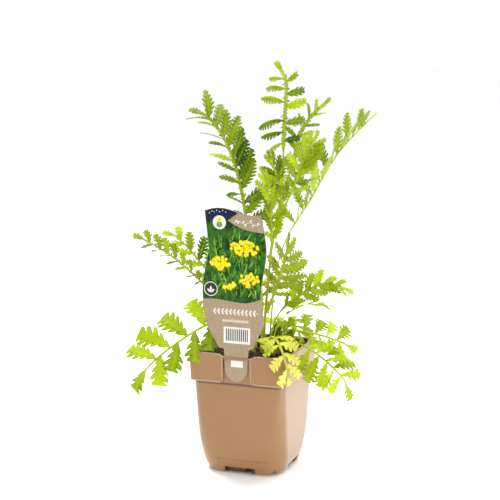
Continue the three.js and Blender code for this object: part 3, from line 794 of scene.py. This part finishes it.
# Printed inks: two near colours and how fine their mottle is, then roughness, relief and shine
# where they differ
INKS = {
    "tag_kraft": ((0.30, 0.218, 0.13), (0.42, 0.32, 0.205), 900, 0.5, 0.01, 0.2),
    "tag_field": ((0.005, 0.026, 0.004), (0.035, 0.15, 0.012), 160, 0.5),
    "tag_navy": ((0.006, 0.01, 0.045), (0.009, 0.014, 0.055), 400),
    "tag_cream": ((0.78, 0.74, 0.66), (0.82, 0.79, 0.72), 400),
    "tag_dark": ((0.03, 0.03, 0.03), (0.05, 0.045, 0.045), 400),
    "tag_leaf": ((0.045, 0.19, 0.01), (0.12, 0.34, 0.02), 300),
    "tag_pale_leaf": ((0.16, 0.4, 0.03), (0.3, 0.54, 0.06), 300),
    "tag_yellow": ((0.93, 0.68, 0.006), (0.98, 0.84, 0.02), 500),
    "tag_orange": ((0.42, 0.2, 0.006), (0.6, 0.32, 0.01), 500),
}


def panel(left, right, low, high):
    return [(left, low), (right, low), (right, high), (left, high)]


def make_tag():
    rng = np.random.default_rng(SEED + 5)
    kraft, field, navy, cream, dark, leaf, pale_leaf, yellow, orange = range(len(INKS))
    builder = Builder()

    def lay(outline, slot, level):
        builder.add(*slab(outline, TAG_FRONT + level * PRINT, TAG_FRONT - PRINT / 2), slot=slot)

    # The plate, its green field, its upper kraft and navy bands, and their small sprigs
    builder.add(*slab(tag_outline(), TAG_FRONT, TAG_FRONT - TAG_THICKNESS), slot=kraft)
    top = flow_points(TAG_TOP)
    right, left = between(193, 281)
    bottom = flow_points([(-36.6, 189.5), (-22, 190), (-6, 188.4), (6, 187.3), (17, 188.8), (26, 192)])
    lay(inset(np.concatenate([bottom, right, top[1:-1], left]), 0.5), field, 1)
    right, left = between(262, 281)
    bottom = flow_points([(-10, 273.5), (0, 267.8), (14, 263.3), (30, 261.5)])
    lay(inset(np.concatenate([bottom, right, top[1:16], [(0, 280.5)]]), 0.5), kraft, 2)
    bottom = flow_points([(-32.8, 272.6), (-22, 275.5), (-11, 275), (2, 281)])
    lay(inset(np.concatenate([bottom, top[12:]]), 0.5), navy, 3)
    lay(disc(-18.5, 271.2, 7.2), cream, 4)
    vine = flow_points([(-3, 271.2), (3, 273.4), (9, 270.4), (15, 272.6), (21, 269.8), (26.5, 271.6)])
    lay(np.concatenate([vine + (0, 0.28), vine[::-1] - (0, 0.28)]), cream, 3)
    for k, (x, z) in enumerate(vine[2:-1:4]):
        lay(blade_outline(x, z, 3.6, 1.5, math.pi / 2 * (1 - 2 * (k % 2)) - 0.5), cream, 3)
    for k, (x, z) in enumerate(flow_points([(-30, 281.2), (-22, 283), (-12, 282.8)])[::2]):
        lay(blade_outline(x, z, 1.7, 0.8, 0.9 if k % 2 else -0.9), cream, 4)

    # The flower on the upper disc and the leaves on the lower one
    lay(panel(-18.8, -18.2, 265.6, 272), leaf, 5)
    for k, up in enumerate((266.4, 268.2, 270)):
        for side in (1, -1):
            lay(blade_outline(-18.5, up, 4.4 - k * 0.5, 1.6, math.pi / 2 - side * 1.0), leaf, 5)
    lay(rosette(-18.5, 274, 2.8), yellow, 5)
    lay(disc(-18.5, 274, 1), orange, 6)
    lay(disc(-28.3, 200.9, 7.6), cream, 4)
    lay(disc(-28.3, 200.9, 6.8), dark, 5)
    for k in range(3):
        lay(blade_outline(-28.3, 197.2, 7 - abs(k - 1) * 1.6, 2.4, math.pi / 2 + (k - 1) * 0.8), cream, 6)

    # The field's grass and flower heads
    for k in range(GRASS_BLADES):
        x, z = rng.uniform(-33, 27), 193 + 60 * rng.random() ** 1.7
        lay(blade_outline(x, z, rng.uniform(6, 20), rng.uniform(0.6, 1.5), rng.uniform(0.9, 2.2)),
            leaf if rng.random() < 0.6 else pale_leaf, 2)
    for x, z, wide, high, count in FLOWER_HEADS:
        for k in range(count):
            turn, reach = rng.uniform(0, 2 * math.pi), math.sqrt(rng.random())
            fx, fz = x + wide * reach * math.cos(turn), z + high * reach * math.sin(turn)
            if -30 < fx < 26:
                radius = rng.uniform(1.5, 2.4)
                level = 3 + 0.12 * k
                lay(disc(fx, fz - 0.5, radius, 14), orange, level)
                lay(rosette(fx, fz, radius, rng.uniform(0, 3)), yellow, level + 0.06)

    # The lower band: a panel of bars, two rows of sprigs and a small panel on the tongue
    lay(panel(-14.2, 15.2, 144.5, 161.7), cream, 1)
    for k in range(PANEL_BARS):
        x = -11.7 + k * 2.1
        lay(panel(x, x + 1.15, 147, 160), dark, 2)
    for z, x0, x1, size in ((177.8, -27, 25, 4.4), (168.3, -16, 14, 2.2)):
        lay(panel(x0, x1, z - 0.2, z + 0.2), cream, 1)
        for k in range(int((x1 - x0) / size)):
            x = x0 + (k + 0.4) * size
            for up in (1, -1):
                lay(blade_outline(x, z, size * 0.95, size * 0.36, up * 0.95), cream, 1)
    lay(panel(-6.2, 7, 119.2, 127.9), cream, 1)
    materials = [plain_material(name, *ink) for name, ink in INKS.items()]
    return ride_on_root(builder.make("plant_tag", materials, 30), "tag", "tag")


# Foliage. A route's points are right, toward and up as the photograph shows the plant, in millimetres

ROOT_HEIGHT = 112
TIP_PLACE = 0.97
BLADE_THICKNESS = 0.4
LEAF_CREASE = 70


def place(point):
    right, toward, up = point
    return np.array([right, -toward, up], float)


def turned(points):
    return np.asarray(points) @ spin(math.radians(PLANT_TURN))


class Route:
    """A smooth line through a frond's points, measured by its length from 0 to 1."""

    def __init__(self, points):
        """A first point of two numbers is a root in the soil."""
        points = [(*points[0], ROOT_HEIGHT)[:3], *points[1:]]
        line = flow_points([place(point) for point in points], 60)
        steps = np.linalg.norm(np.diff(line, axis=0), axis=1)
        self.line = line
        self.done = np.concatenate([[0], np.cumsum(steps)])
        self.length = self.done[-1]

    def at(self, s):
        wanted = np.asarray(s, float) * self.length
        return np.stack([np.interp(wanted, self.done, self.line[:, k]) for k in range(3)], -1)

    def frame(self, s, face):
        """Origin, tangent, upper face's normal and side at places on the route."""
        s = np.asarray(s, float)
        step = 1.5 / self.length
        tangent = self.at(np.clip(s + step, 0, 1)) - self.at(np.clip(s - step, 0, 1))
        tangent /= np.linalg.norm(tangent, axis=-1, keepdims=True)
        hint = np.broadcast_to(place(face), tangent.shape)
        normal = hint - tangent * np.sum(hint * tangent, -1, keepdims=True)
        normal /= np.linalg.norm(normal, axis=-1, keepdims=True)
        return self.at(s), tangent, normal, np.cross(tangent, normal)


# One lobe of a leaflet's edge, from notch to notch: places along, and how far it stands out there
LOBE_PLACES = (0, 0.08, 0.16, 0.3, 0.5, 0.68, 0.8, 0.88, 1)
LOBE_RISE = (0, 0.42, 0.78, 0.96, 1, 0.92, 0.68, 0.34, 0)
SIDE_SHIFT = 0.35
ACROSS = np.array([-1, -0.75, -0.42, -0.14, 0, 0.14, 0.42, 0.75, 1])


def tooth(f, sharp):
    """Height of a lobe at a place from one notch to the next, 0 to 1."""
    return np.interp(f, LOBE_PLACES, LOBE_RISE) ** sharp


def leaflet(length, frond, rng, side, teeth):
    """Points, faces and notes of one toothed leaflet along +x with its upper face to +z."""
    teeth = teeth or int(np.clip(round(length / frond["pitch"] + rng.uniform(-0.4, 0.4)), 3, 8))
    half = length * for_side(frond, "blade", side)
    stem = 0.06
    places = [stem + (1 - stem) * (k + f) / teeth for k in range(teeth) for f in LOBE_PLACES[:-1]]
    t = np.array([0, *places, 1])
    v = ACROSS
    lobe = np.clip((t - stem) / (1 - stem) * teeth, 0, teeth)
    grown = frond["base"] + (1 - frond["base"]) * smooth_step(0, frond["widest"], t)
    envelope = grown * (1 - t ** frond["taper"]) ** 0.7
    uneven = np.vstack([rng.uniform(0.82, 1.12, (teeth, 2)), [1, 1]])[lobe.astype(int)]
    peak = tooth(np.mod(lobe, 1), frond["sharp"])[:, None] * uneven
    outline = half * envelope[:, None] * (frond["sinus"] + (1 - frond["sinus"]) * peak) + 0.12
    lean = peak * envelope[:, None] * frond["lean"] * length / teeth
    lean[:, 1] += SIDE_SHIFT * length / teeth * smooth_step(0, 0.2, t) * (1 - smooth_step(0.75, 1, t))
    half_of = (v > 0).astype(int)
    width = outline[:, half_of]
    push = lean[:, half_of]
    y = width * v
    x = t[:, None] * length * 0.97 + push * np.abs(v) ** 1.4
    wave = rng.uniform(0, 6.3)
    ripple = 0.05 * half * np.sin(t[:, None] * teeth * 1.3 + wave + v * 1.5)
    fold = for_side(frond, "fold", side) * np.abs(y)
    droop = -frond["curl"] * (np.abs(v) ** 2.2) * width
    groove = -0.16 * np.exp(-(y / 0.35) ** 2)
    z = ripple + fold + droop + groove
    twist = math.radians(rng.normal(0, frond["twist"])) * t[:, None]
    y, z = y * np.cos(twist) - z * np.sin(twist), y * np.sin(twist) + z * np.cos(twist)
    top = np.stack([x, y, z], -1)
    thick = BLADE_THICKNESS * (1 - 0.6 * np.abs(v) ** 3) + 0.25 * np.exp(-(width * v / 0.3) ** 2)
    bottom = top - thick[..., None] * (0, 0, 1)
    rows, columns = top.shape[:2]
    upper = np.arange(rows * columns).reshape(rows, columns)
    lower = upper.copy()
    inner = np.arange((rows - 2) * (columns - 2)).reshape(rows - 2, columns - 2)
    lower[1:-1, 1:-1] = rows * columns + inner
    points = np.concatenate([top.reshape(-1, 3), bottom[1:-1, 1:-1].reshape(-1, 3)])
    up = np.stack([upper[:-1, :-1], upper[1:, :-1], upper[1:, 1:], upper[:-1, 1:]], -1).reshape(-1, 4)
    down = np.stack([lower[:-1, :-1], lower[:-1, 1:], lower[1:, 1:], lower[1:, :-1]], -1).reshape(-1, 4)
    # Nearness to the edge, more in the notches between lobes; it also drives the painted shade there
    notch = np.abs(v) * (1 - 0.45 * np.clip(peak, 0, 1)[:, half_of])
    edge = np.concatenate([notch.ravel(), notch[1:-1, 1:-1].ravel()])
    under = np.concatenate([np.zeros(rows * columns), np.ones((rows - 2) * (columns - 2))])
    return points, [up, down], edge, under


def bent(points, length, bend, sweep):
    """Arches a leaflet away from its upper face, and sweeps it sideways."""
    x, y, z = points.T
    angle = math.radians(bend)
    angle = angle if abs(angle) > 0.01 else 0.01
    at = angle * x / length
    forward = length * np.sin(at) / angle + z * np.sin(at)
    up = -length * (1 - np.cos(at)) / angle + z * np.cos(at)
    return np.stack([forward, y + sweep * x * x / length, up], -1)


# Values of a frond. Its leafy stretch begins at first. span and end are the lengths of its leaflets and of
# the last one, and blade is a leaflet's half width by its length. spread, lift and roll turn a leaflet away
# from the stalk, out of the frond's plane and about itself, and bend arches it. left and right scale its
# length. pitch is the distance of its teeth, and sinus how much is left between them. A pair of numbers
# goes from the frond's root to its tip, and a name that ends in _left is for the left side alone
FROND_DEFAULTS = dict(
    first=0.5, pairs=7, span=26, end=13, blade=0.2, spread=(60, 35), lift=20, roll=0, bend=25, left=1,
    right=1, stagger=0.35, radius=1.2, tip=0.6, face=(0, 1, 0.3), pitch=4.8, sinus=0.34, sharp=1.0,
    lean=0.9, base=0.45, widest=0.35, taper=3, fold=0.12, curl=0.1, twist=20, sweep=0.1, wing=1.8,
    tone=0.5, swell=(0.2, 0.68), minor=True
)
BROAD = dict(
    pitch=5.6, sinus=0.42, sharp=0.8, lean=0.4, base=0.22, widest=0.55, taper=6, fold=0.06, curl=0.16,
    wing=0.5, swell=(0.4, 0.34), minor=False, sweep=0.06, radius=1.4, tip=1.0
)
OVAL = dict(blade=0.3, pitch=4.4, sinus=0.3, lean=0.7, base=0.4, widest=0.45, taper=4, wing=1.0)
BACK_DRAPE = dict(BROAD, first=0.42, pairs=4, end=18, blade=0.26, spread=(75, 45), tone=0.7)


def leaflet_length(frond, u):
    start, reach = frond["swell"]
    return frond["span"] * math.sin(math.pi * (start + reach * u)) ** 0.8


def add_leaflet(builder, frond, rng, origin, along, upper, length, s, side=1, teeth=None, sweep=0.0):
    points, faces, edge, under = leaflet(length, frond, rng, side, teeth)
    points = bent(points, length, for_side(frond, "bend", side) * rng.uniform(0.6, 1.4), sweep)
    across = np.cross(upper, along)
    points = origin + points @ np.stack([along, across, upper])
    tone = np.clip(frond["tone"] + rng.normal(0, 0.22), 0, 1)
    note = np.stack([np.full(len(edge), tone), edge, np.full(len(edge), s), np.ones(len(edge))], -1)
    builder.add(turned(points), faces, note, under)


def graded(value, u):
    """A value that is the same all along a frond, or goes from the first of two to the second."""
    return value[0] + (value[1] - value[0]) * u if isinstance(value, tuple) else value


def for_side(frond, name, side):
    """A value of its own for the left side where the frond has one."""
    return frond.get(name + "_left", frond[name]) if side < 0 else frond[name]


def leaflet_ways(frond, route, s, side, u, rng, wider=0):
    """A leaflet's own direction and upper face, on one side of the stalk."""
    origin, tangent, normal, across = route.frame(s, frond["face"])
    lift = math.radians(graded(for_side(frond, "lift", side), u) + rng.normal(0, 9))
    spread = math.radians(graded(for_side(frond, "spread", side), u) + wider + rng.normal(0, 7))
    roll = math.radians(graded(for_side(frond, "roll", side), u) + rng.normal(0, 14))
    sideways = across * side * math.cos(lift) + normal * math.sin(lift)
    flat = np.cross(sideways, tangent) * side
    along = tangent * math.cos(spread) + sideways * math.sin(spread)
    forward = tangent - along * np.dot(tangent, along)
    forward /= np.linalg.norm(forward)
    upper = flat * math.cos(roll) + forward * math.sin(roll)
    return origin, along, upper


def leaflet_places(frond, side):
    """Where the leaflets of one side stand on the leafy stretch, from 0 to 1."""
    own = frond.get("left_places" if side < 0 else "right_places")
    start = frond["stagger"] if side > 0 else 0
    return own or [(k + start) / frond["pairs"] for k in range(frond["pairs"])]


def add_leaflets(builder, frond, route, rng):
    for side in (-1, 1):
        for u in leaflet_places(frond, side):
            u += rng.uniform(-0.12, 0.12) / frond["pairs"]
            s = frond["first"] + (TIP_PLACE - frond["first"]) * u
            factor = graded(frond["left"] if side < 0 else frond["right"], u) * rng.uniform(0.9, 1.1)
            length = leaflet_length(frond, u) * factor
            origin, along, upper = leaflet_ways(frond, route, s, side, u, rng)
            sweep = side * frond["sweep"] * rng.uniform(0.3, 1.7)
            add_leaflet(builder, frond, rng, origin, along, upper, length, s, side, sweep=sweep)
            small = s + 0.5 * (TIP_PLACE - frond["first"]) / frond["pairs"]
            if frond["minor"] and small < TIP_PLACE - 0.02:
                origin, along, upper = leaflet_ways(frond, route, small, side, u, rng, 10)
                add_leaflet(builder, frond, rng, origin, along, upper, length * 0.12 + 1.2, small, side, 2)
    origin, tangent, normal, _ = route.frame(TIP_PLACE, frond["face"])
    add_leaflet(builder, frond, rng, origin, tangent, normal, frond["end"], 1.0)


# A stalk's section: across, up, and the side on which its wing grows
STALK_SECTION = [
    (1, 0.1, 1), (0.72, 0.66, 0), (0.3, 0.82, 0), (0, 0.6, 0), (-0.3, 0.82, 0), (-0.72, 0.66, 0),
    (-1, 0.1, -1), (-1, -0.12, -1), (-0.75, -0.62, 0), (-0.36, -0.93, 0), (0, -1.03, 0), (0.36, -0.93, 0),
    (0.75, -0.62, 0), (1, -0.12, 1),
]


def add_stalk(builder, frond, route):
    """The frond's stalk, grooved above, with a narrow toothed wing on each side of its leafy stretch."""
    bare = np.arange(0, frond["first"] * 0.85, 3.5 / route.length)
    leafy = np.arange(frond["first"] * 0.85, 1.0, 0.8 / route.length)
    s = np.concatenate([bare, leafy, [1.0]])
    origin, tangent, normal, side = route.frame(s, frond["face"])
    run = s * route.length
    radius = frond["radius"] + (frond["tip"] * 0.75 - frond["radius"]) * s ** 0.8
    radius = radius + 0.7 * np.exp(-np.maximum(run - 8, 0) / 9)
    grown = smooth_step(frond["first"] * 0.86, frond["first"] * 1.05, s)
    closing = 1 - smooth_step(0.985, 1.0, s)
    rows = []
    for across, up, wing_side in STALK_SECTION:
        phase = np.mod(run / 3.4 + (0.4 if wing_side > 0 else 0), 1)
        cut_in = 0.2 + 0.8 * tooth(phase, 1.2)
        wing = frond["wing"] * grown * cut_in * abs(wing_side) * closing
        reach = across * radius * (0.4 + 0.6 * closing) + wing * wing_side
        rise = up * radius * (0.4 + 0.6 * closing)
        lean = 0.9 * wing
        rows.append(origin + side * reach[:, None] + normal * rise[:, None] + tangent * lean[:, None])
    points = np.stack(rows, 1)
    count, sides = points.shape[:2]
    faces = [group[:, ::-1] for group in tube_faces(count, sides)]
    blade = [0.6 * abs(wing_side) for _, _, wing_side in STALK_SECTION]
    note = np.broadcast_arrays(frond["tone"], 0.5, s[:, None], blade * grown[:, None])
    builder.add(turned(points.reshape(-1, 3)), faces, np.stack(note, -1).reshape(-1, 4))


def full(spec):
    return {**FROND_DEFAULTS, **spec}


def add_frond(builder, spec, seed):
    rng = np.random.default_rng(SEED * 100 + seed)
    frond = full(spec)
    route = Route(frond["route"])
    add_stalk(builder, frond, route)
    add_leaflets(builder, frond, route, rng)


STEM = dict(
    route=[(9, 0), (12, 2, 159), (15, 3, 198), (19, 3, 236), (25, 1, 267), (29, -2, 294), (31, -5, 318)],
    radius=2, tip=1.1, face=(0, 1, 0), first=1.5, wing=0
)

STEM_LEAVES = [
    dict(route=[(29, -2, 294), (31, -5, 324), (32, -10, 362), (34, -14, 393), (34, -17, 413),
         (28, -18, 426)], first=0.38, span=32, end=15, blade=0.25, blade_left=0.19, spread=(80, 70),
         spread_left=(95, 45), left_places=(0.05, 0.2, 0.36, 0.59, 0.76, 0.9),
         right_places=(0.1, 0.31, 0.54, 0.71, 0.88), roll=12, roll_left=(62, 45), bend=40, bend_left=65,
         right=0.75, face=(-0.1, 1, 0.15), tone=0.42, taper=4, fold=0.05, fold_left=-0.9, sinus=0.38),
    dict(route=[(27, -1, 280), (36, -8, 309), (44, -14, 335), (48, -18, 355), (62, -24, 376),
         (76, -29, 389)], first=0.42, pairs=6, span=20, spread=(50, 22), lift=25, roll=30,
         face=(0.2, 1, 0.2)),
    dict(route=[(23, 1, 255), (29, 8, 284), (26, 12, 309), (18, 18, 334)], first=0.35, pairs=6, span=25,
         spread=(42, 20), lift=35, face=(0.3, 1, 0.2), tone=0.4),
    dict(route=[(22, 0, 248), (31, 6, 277), (40, 14, 301), (52, 22, 334), (63, 26, 356)], first=0.45,
         span=28, spread=(62, 30), lift=30, face=(0.2, 1, 0.2), tone=0.42),
    dict(route=[(17, 4, 223), (19, 12, 250), (17, 20, 286), (10, 25, 318)], first=0.26, span=27,
         spread=(38, 20), lift=40, face=(0.4, 1, 0.1), tone=0.72),
    dict(route=[(14, 4, 168), (23, 10, 194), (31, 14, 220), (37, 12, 246)], first=0.26, pairs=9, span=28,
         spread=(85, 55), spread_left=(65, 45), lift=35, lift_left=15, left=1.15, face=(0.5, -0.3, 1),
         tone=0.85, sinus=0.26),
]

FRONDS = {
    "frond_left_tall": dict(
        route=[(1, -5), (-4, -10, 201), (-10, -16, 280), (-25, -22, 338), (-45, -27, 371),
        (-62, -30, 381)], pairs=11, span=36, end=18, blade=0.23, blade_left=0.16, spread=(54, 43),
        spread_left=(62, 34), lift=25, sinus=0.3, roll_left=(10, 75), bend_left=40, left=(0.5, 1.0),
        face=(0.45, 0.9, 0.1), swell=(0.28, 0.46), tone=0.32),
    "frond_right_tall": dict(
        route=[(15, -8), (28, -22, 223), (64, -46, 287), (91, -58, 331), (119, -67, 361),
        (134, -71, 375)], pairs=8, span=38, end=12, blade=0.17, spread=(62, 36), lift=(60, 66), bend=15,
        face=(-0.6, 0.3, 0.7), tone=0.62, sinus=0.25, base=0.3),
    "frond_left_middle": dict(
        OVAL, route=[(-3, 3), (-28, 6, 173), (-53, 10, 200), (-86, 16, 231), (-119, 21, 252)], first=0.4,
        pairs=10, span=24, end=14, spread=(55, 38), lift=25, roll_left=(55, 30), left=(0.15, 0.95),
        right=(0.2, 1.1), face=(0.35, 0.77, 0.53), tone=0.36),
    "frond_left_upper": dict(
        OVAL, route=[(-3, -9), (-26, -14, 169), (-52, -24, 210), (-80, -37, 240), (-92, -41, 246)],
        first=0.42, pairs=6, span=27, end=15, spread=(60, 42), lift=25, left=0.85,
        face=(0.27, 0.94, 0.21), tone=0.58),
    "frond_left_drape": dict(
        BROAD, route=[(-4, 10), (-23, 16, 161), (-50, 26, 159), (-84, 38, 140), (-108, 44, 121),
        (-116, 46, 111)], first=0.46, pairs=4, span=40, end=27, blade=0.34, spread=(100, 48),
        spread_left=(72, 48), lift=5, left=0.9, face=(-0.2, 0.9, 0.4), tone=0.66, sinus=0.38, pitch=7.6,
        base=0.34, widest=0.6, taper=7, lean=0.6),
    "frond_right_upper": dict(
        route=[(13, 6), (24, 14, 164), (49, 20, 190), (75, 23, 203), (98, 22, 197)], first=0.48, span=22,
        end=15, blade=0.28, spread=(58, 40), spread_left=(50, 35), lift=10, lift_left=48, left=0.95,
        bend_left=50, pitch=4.2, sinus=0.45, face=(0, 0.7, 0.7), tone=0.6),
    "frond_right_lower": dict(
        route=[(19, 14), (25, 27, 159), (52, 39, 183), (82, 44, 183)], first=0.4, pairs=5, span=17,
        end=10, blade=0.22, spread=(55, 30), lift=15, face=(-0.3, 0.05, 1), tone=0.65),
    "frond_right_rim": dict(
        BROAD, route=[(21, -1), (30, -9, 143), (59, -18, 141), (90, -25, 131), (104, -27, 124)],
        first=0.32, pairs=6, span=21, right=0.9, end=17, blade=0.44, spread=(85, 50),
        spread_left=(98, 55), lift=12, face=(0, 0.85, 0.5), tone=0.75, swell=(0.25, 0.35), base=0.12,
        widest=0.6, sinus=0.22, pitch=4.8, lean=0.7, taper=8),
    "frond_right_drape": dict(
        BROAD, route=[(17, 9), (30, 12, 136), (51, 23, 137), (74, 31, 123), (93, 35, 105), (98, 36, 96)],
        pairs=5, span=31, end=22, blade=0.27, spread=(88, 60), spread_left=(60, 48), lift=5,
        face=(0.2, 0.8, 0.5), tone=0.76, sinus=0.32, lean=0.5),
    "frond_yellow": dict(
        BROAD, route=[(12, 18), (17, 34, 145), (22, 50, 150), (28, 66, 143), (33, 75, 128),
        (36, 77, 114)], first=0.38, pairs=5, span=24, end=12, blade=0.29, spread=(66, 40), lift=8,
        face=(0, 0.2, 1)),
    "frond_back_tall": dict(
        route=[(-1, -16), (-8, -30, 180), (-16, -46, 228), (-20, -60, 248)], first=0.45, pairs=6, span=22,
        face=(-0.3, 0.9, 0.4)),
    "frond_back_arched": dict(
        route=[(8, -14), (9, -36, 172), (3, -64, 200), (-4, -88, 200)], first=0.42, pairs=6, span=22,
        spread=(70, 45), face=(0, 0.3, 1)),
    "frond_back_drape": dict(
        BACK_DRAPE, route=[(3, -21), (0, -36, 142), (-8, -64, 148), (-16, -92, 130), (-19, -102, 116)],
        face=(0, 0.2, 1)),
    "frond_back_right": dict(
        BACK_DRAPE, route=[(15, -17), (26, -38, 142), (38, -60, 144), (50, -82, 130), (54, -90, 118)],
        face=(-0.1, 0.2, 1)),
    # Its very low tone is painted shade, for a leaf sitting low in the plant's shadow
    "frond_small": dict(
        BROAD, route=[(23, 6), (29, 9, 138), (36, 14, 154)], first=0.45, pairs=4, span=16, blade=0.38,
        spread=(75, 45), face=(0, 0.7, 0.7), tone=0.12),
}


def make_foliage():
    green = leaf_material("leaf_green", *LEAF_GREEN)
    yellow = leaf_material("leaf_fading", *LEAF_FADING)
    builder = Builder()
    stem = full(STEM)
    add_stalk(builder, stem, Route(stem["route"]))
    for seed, spec in enumerate(STEM_LEAVES):
        add_frond(builder, spec, seed)
    ride_on_root(builder.make("leafy_stem_fine", [green], LEAF_CREASE), "leaf", "leafy_stem")
    for seed, (name, spec) in enumerate(FRONDS.items()):
        builder = Builder()
        add_frond(builder, spec, 20 + seed)
        fading = name == "frond_yellow"
        piece = builder.make(name + "_fine", [yellow if fading else green], LEAF_CREASE)
        ride_on_root(piece, "yellow_leaf" if fading else "leaf", name)


# Stage

FLOOR_REACH = 12000


def make_floor():
    builder = Builder()
    points = [(x * FLOOR_REACH, y * FLOOR_REACH, 0) for x, y in ((-1, -1), (1, -1), (1, 1), (-1, 1))]
    builder.add(points, [[[0, 1, 2, 3]]])
    shader = Shader("floor_white")
    floor = builder.make("floor", [shader.finish((0.97, 0.97, 0.97), 0.9, None, 0.1)])


def make_light(name, place_mm, aim_mm, wide, high, power, on_all):
    data = bpy.data.lights.new(name, "AREA")
    data.shape = "ELLIPSE"
    data.size = wide * MM
    data.size_y = high * MM
    data.energy = power
    light = bpy.data.objects.new(name, data)
    light.location = Vector(place_mm) * MM
    light.rotation_euler = (Vector(aim_mm) - Vector(place_mm)).to_track_quat("-Z", "Y").to_euler()
    light.visible_diffuse = on_all
    bpy.context.collection.objects.link(light)


# Lights: place and aim, width and height, power, and whether they light more than glossy reflections
LIGHTS = [
    ("floor_behind", (480, 820, 900), (330, 650, 0), 900, 900, 9, True),
    ("above_left", (-700, 250, 1500), (0, 0, 220), 450, 450, 24, True),
    ("pot_right", (520, -170, 70), (30, -20, 50), 260, 130, 0.5, True),
    ("glare_right", (628, -168, 150), (20, -20, 60), 600, 300, 5, False),
    ("glare_behind", (350, 606, 180), (20, -20, 60), 500, 300, 0.8, False),
]
WORLD_STRENGTH = 1.02


def make_lights():
    world = bpy.data.worlds.new("studio")
    world.use_nodes = True
    background = world.node_tree.nodes["Background"]
    background.inputs["Color"].default_value = (1, 1, 1, 1)
    background.inputs["Strength"].default_value = WORLD_STRENGTH
    bpy.context.scene.world = world
    for light in LIGHTS:
        make_light(*light)
    bpy.context.scene.view_settings.view_transform = "Standard"


def make_camera():
    turn, rise = math.radians(CAMERA_TURN), math.radians(CAMERA_RISE)
    right = Vector((math.cos(turn), math.sin(turn), 0))
    back = Vector((math.sin(turn) * math.cos(rise), -math.cos(turn) * math.cos(rise), math.sin(rise)))
    data = bpy.data.cameras.new("camera")
    data.sensor_width = SENSOR
    data.lens = FOCAL_PIXELS / PHOTO_SIDE * SENSOR
    data.clip_end = 100
    camera = bpy.data.objects.new("camera", data)
    aim = right * CAMERA_RIGHT + Vector((0, 0, CAMERA_HEIGHT))
    basis = Matrix((right, back.cross(right), back)).transposed().to_4x4()
    camera.matrix_world = Matrix.Translation((aim + back * CAMERA_AWAY) * MM) @ basis
    bpy.context.collection.objects.link(camera)
    bpy.context.scene.camera = camera


make_camera()
make_lights()
make_floor()
make_pot()
make_soil()
make_tag()
make_foliage()

bpy.context.view_layer.update()
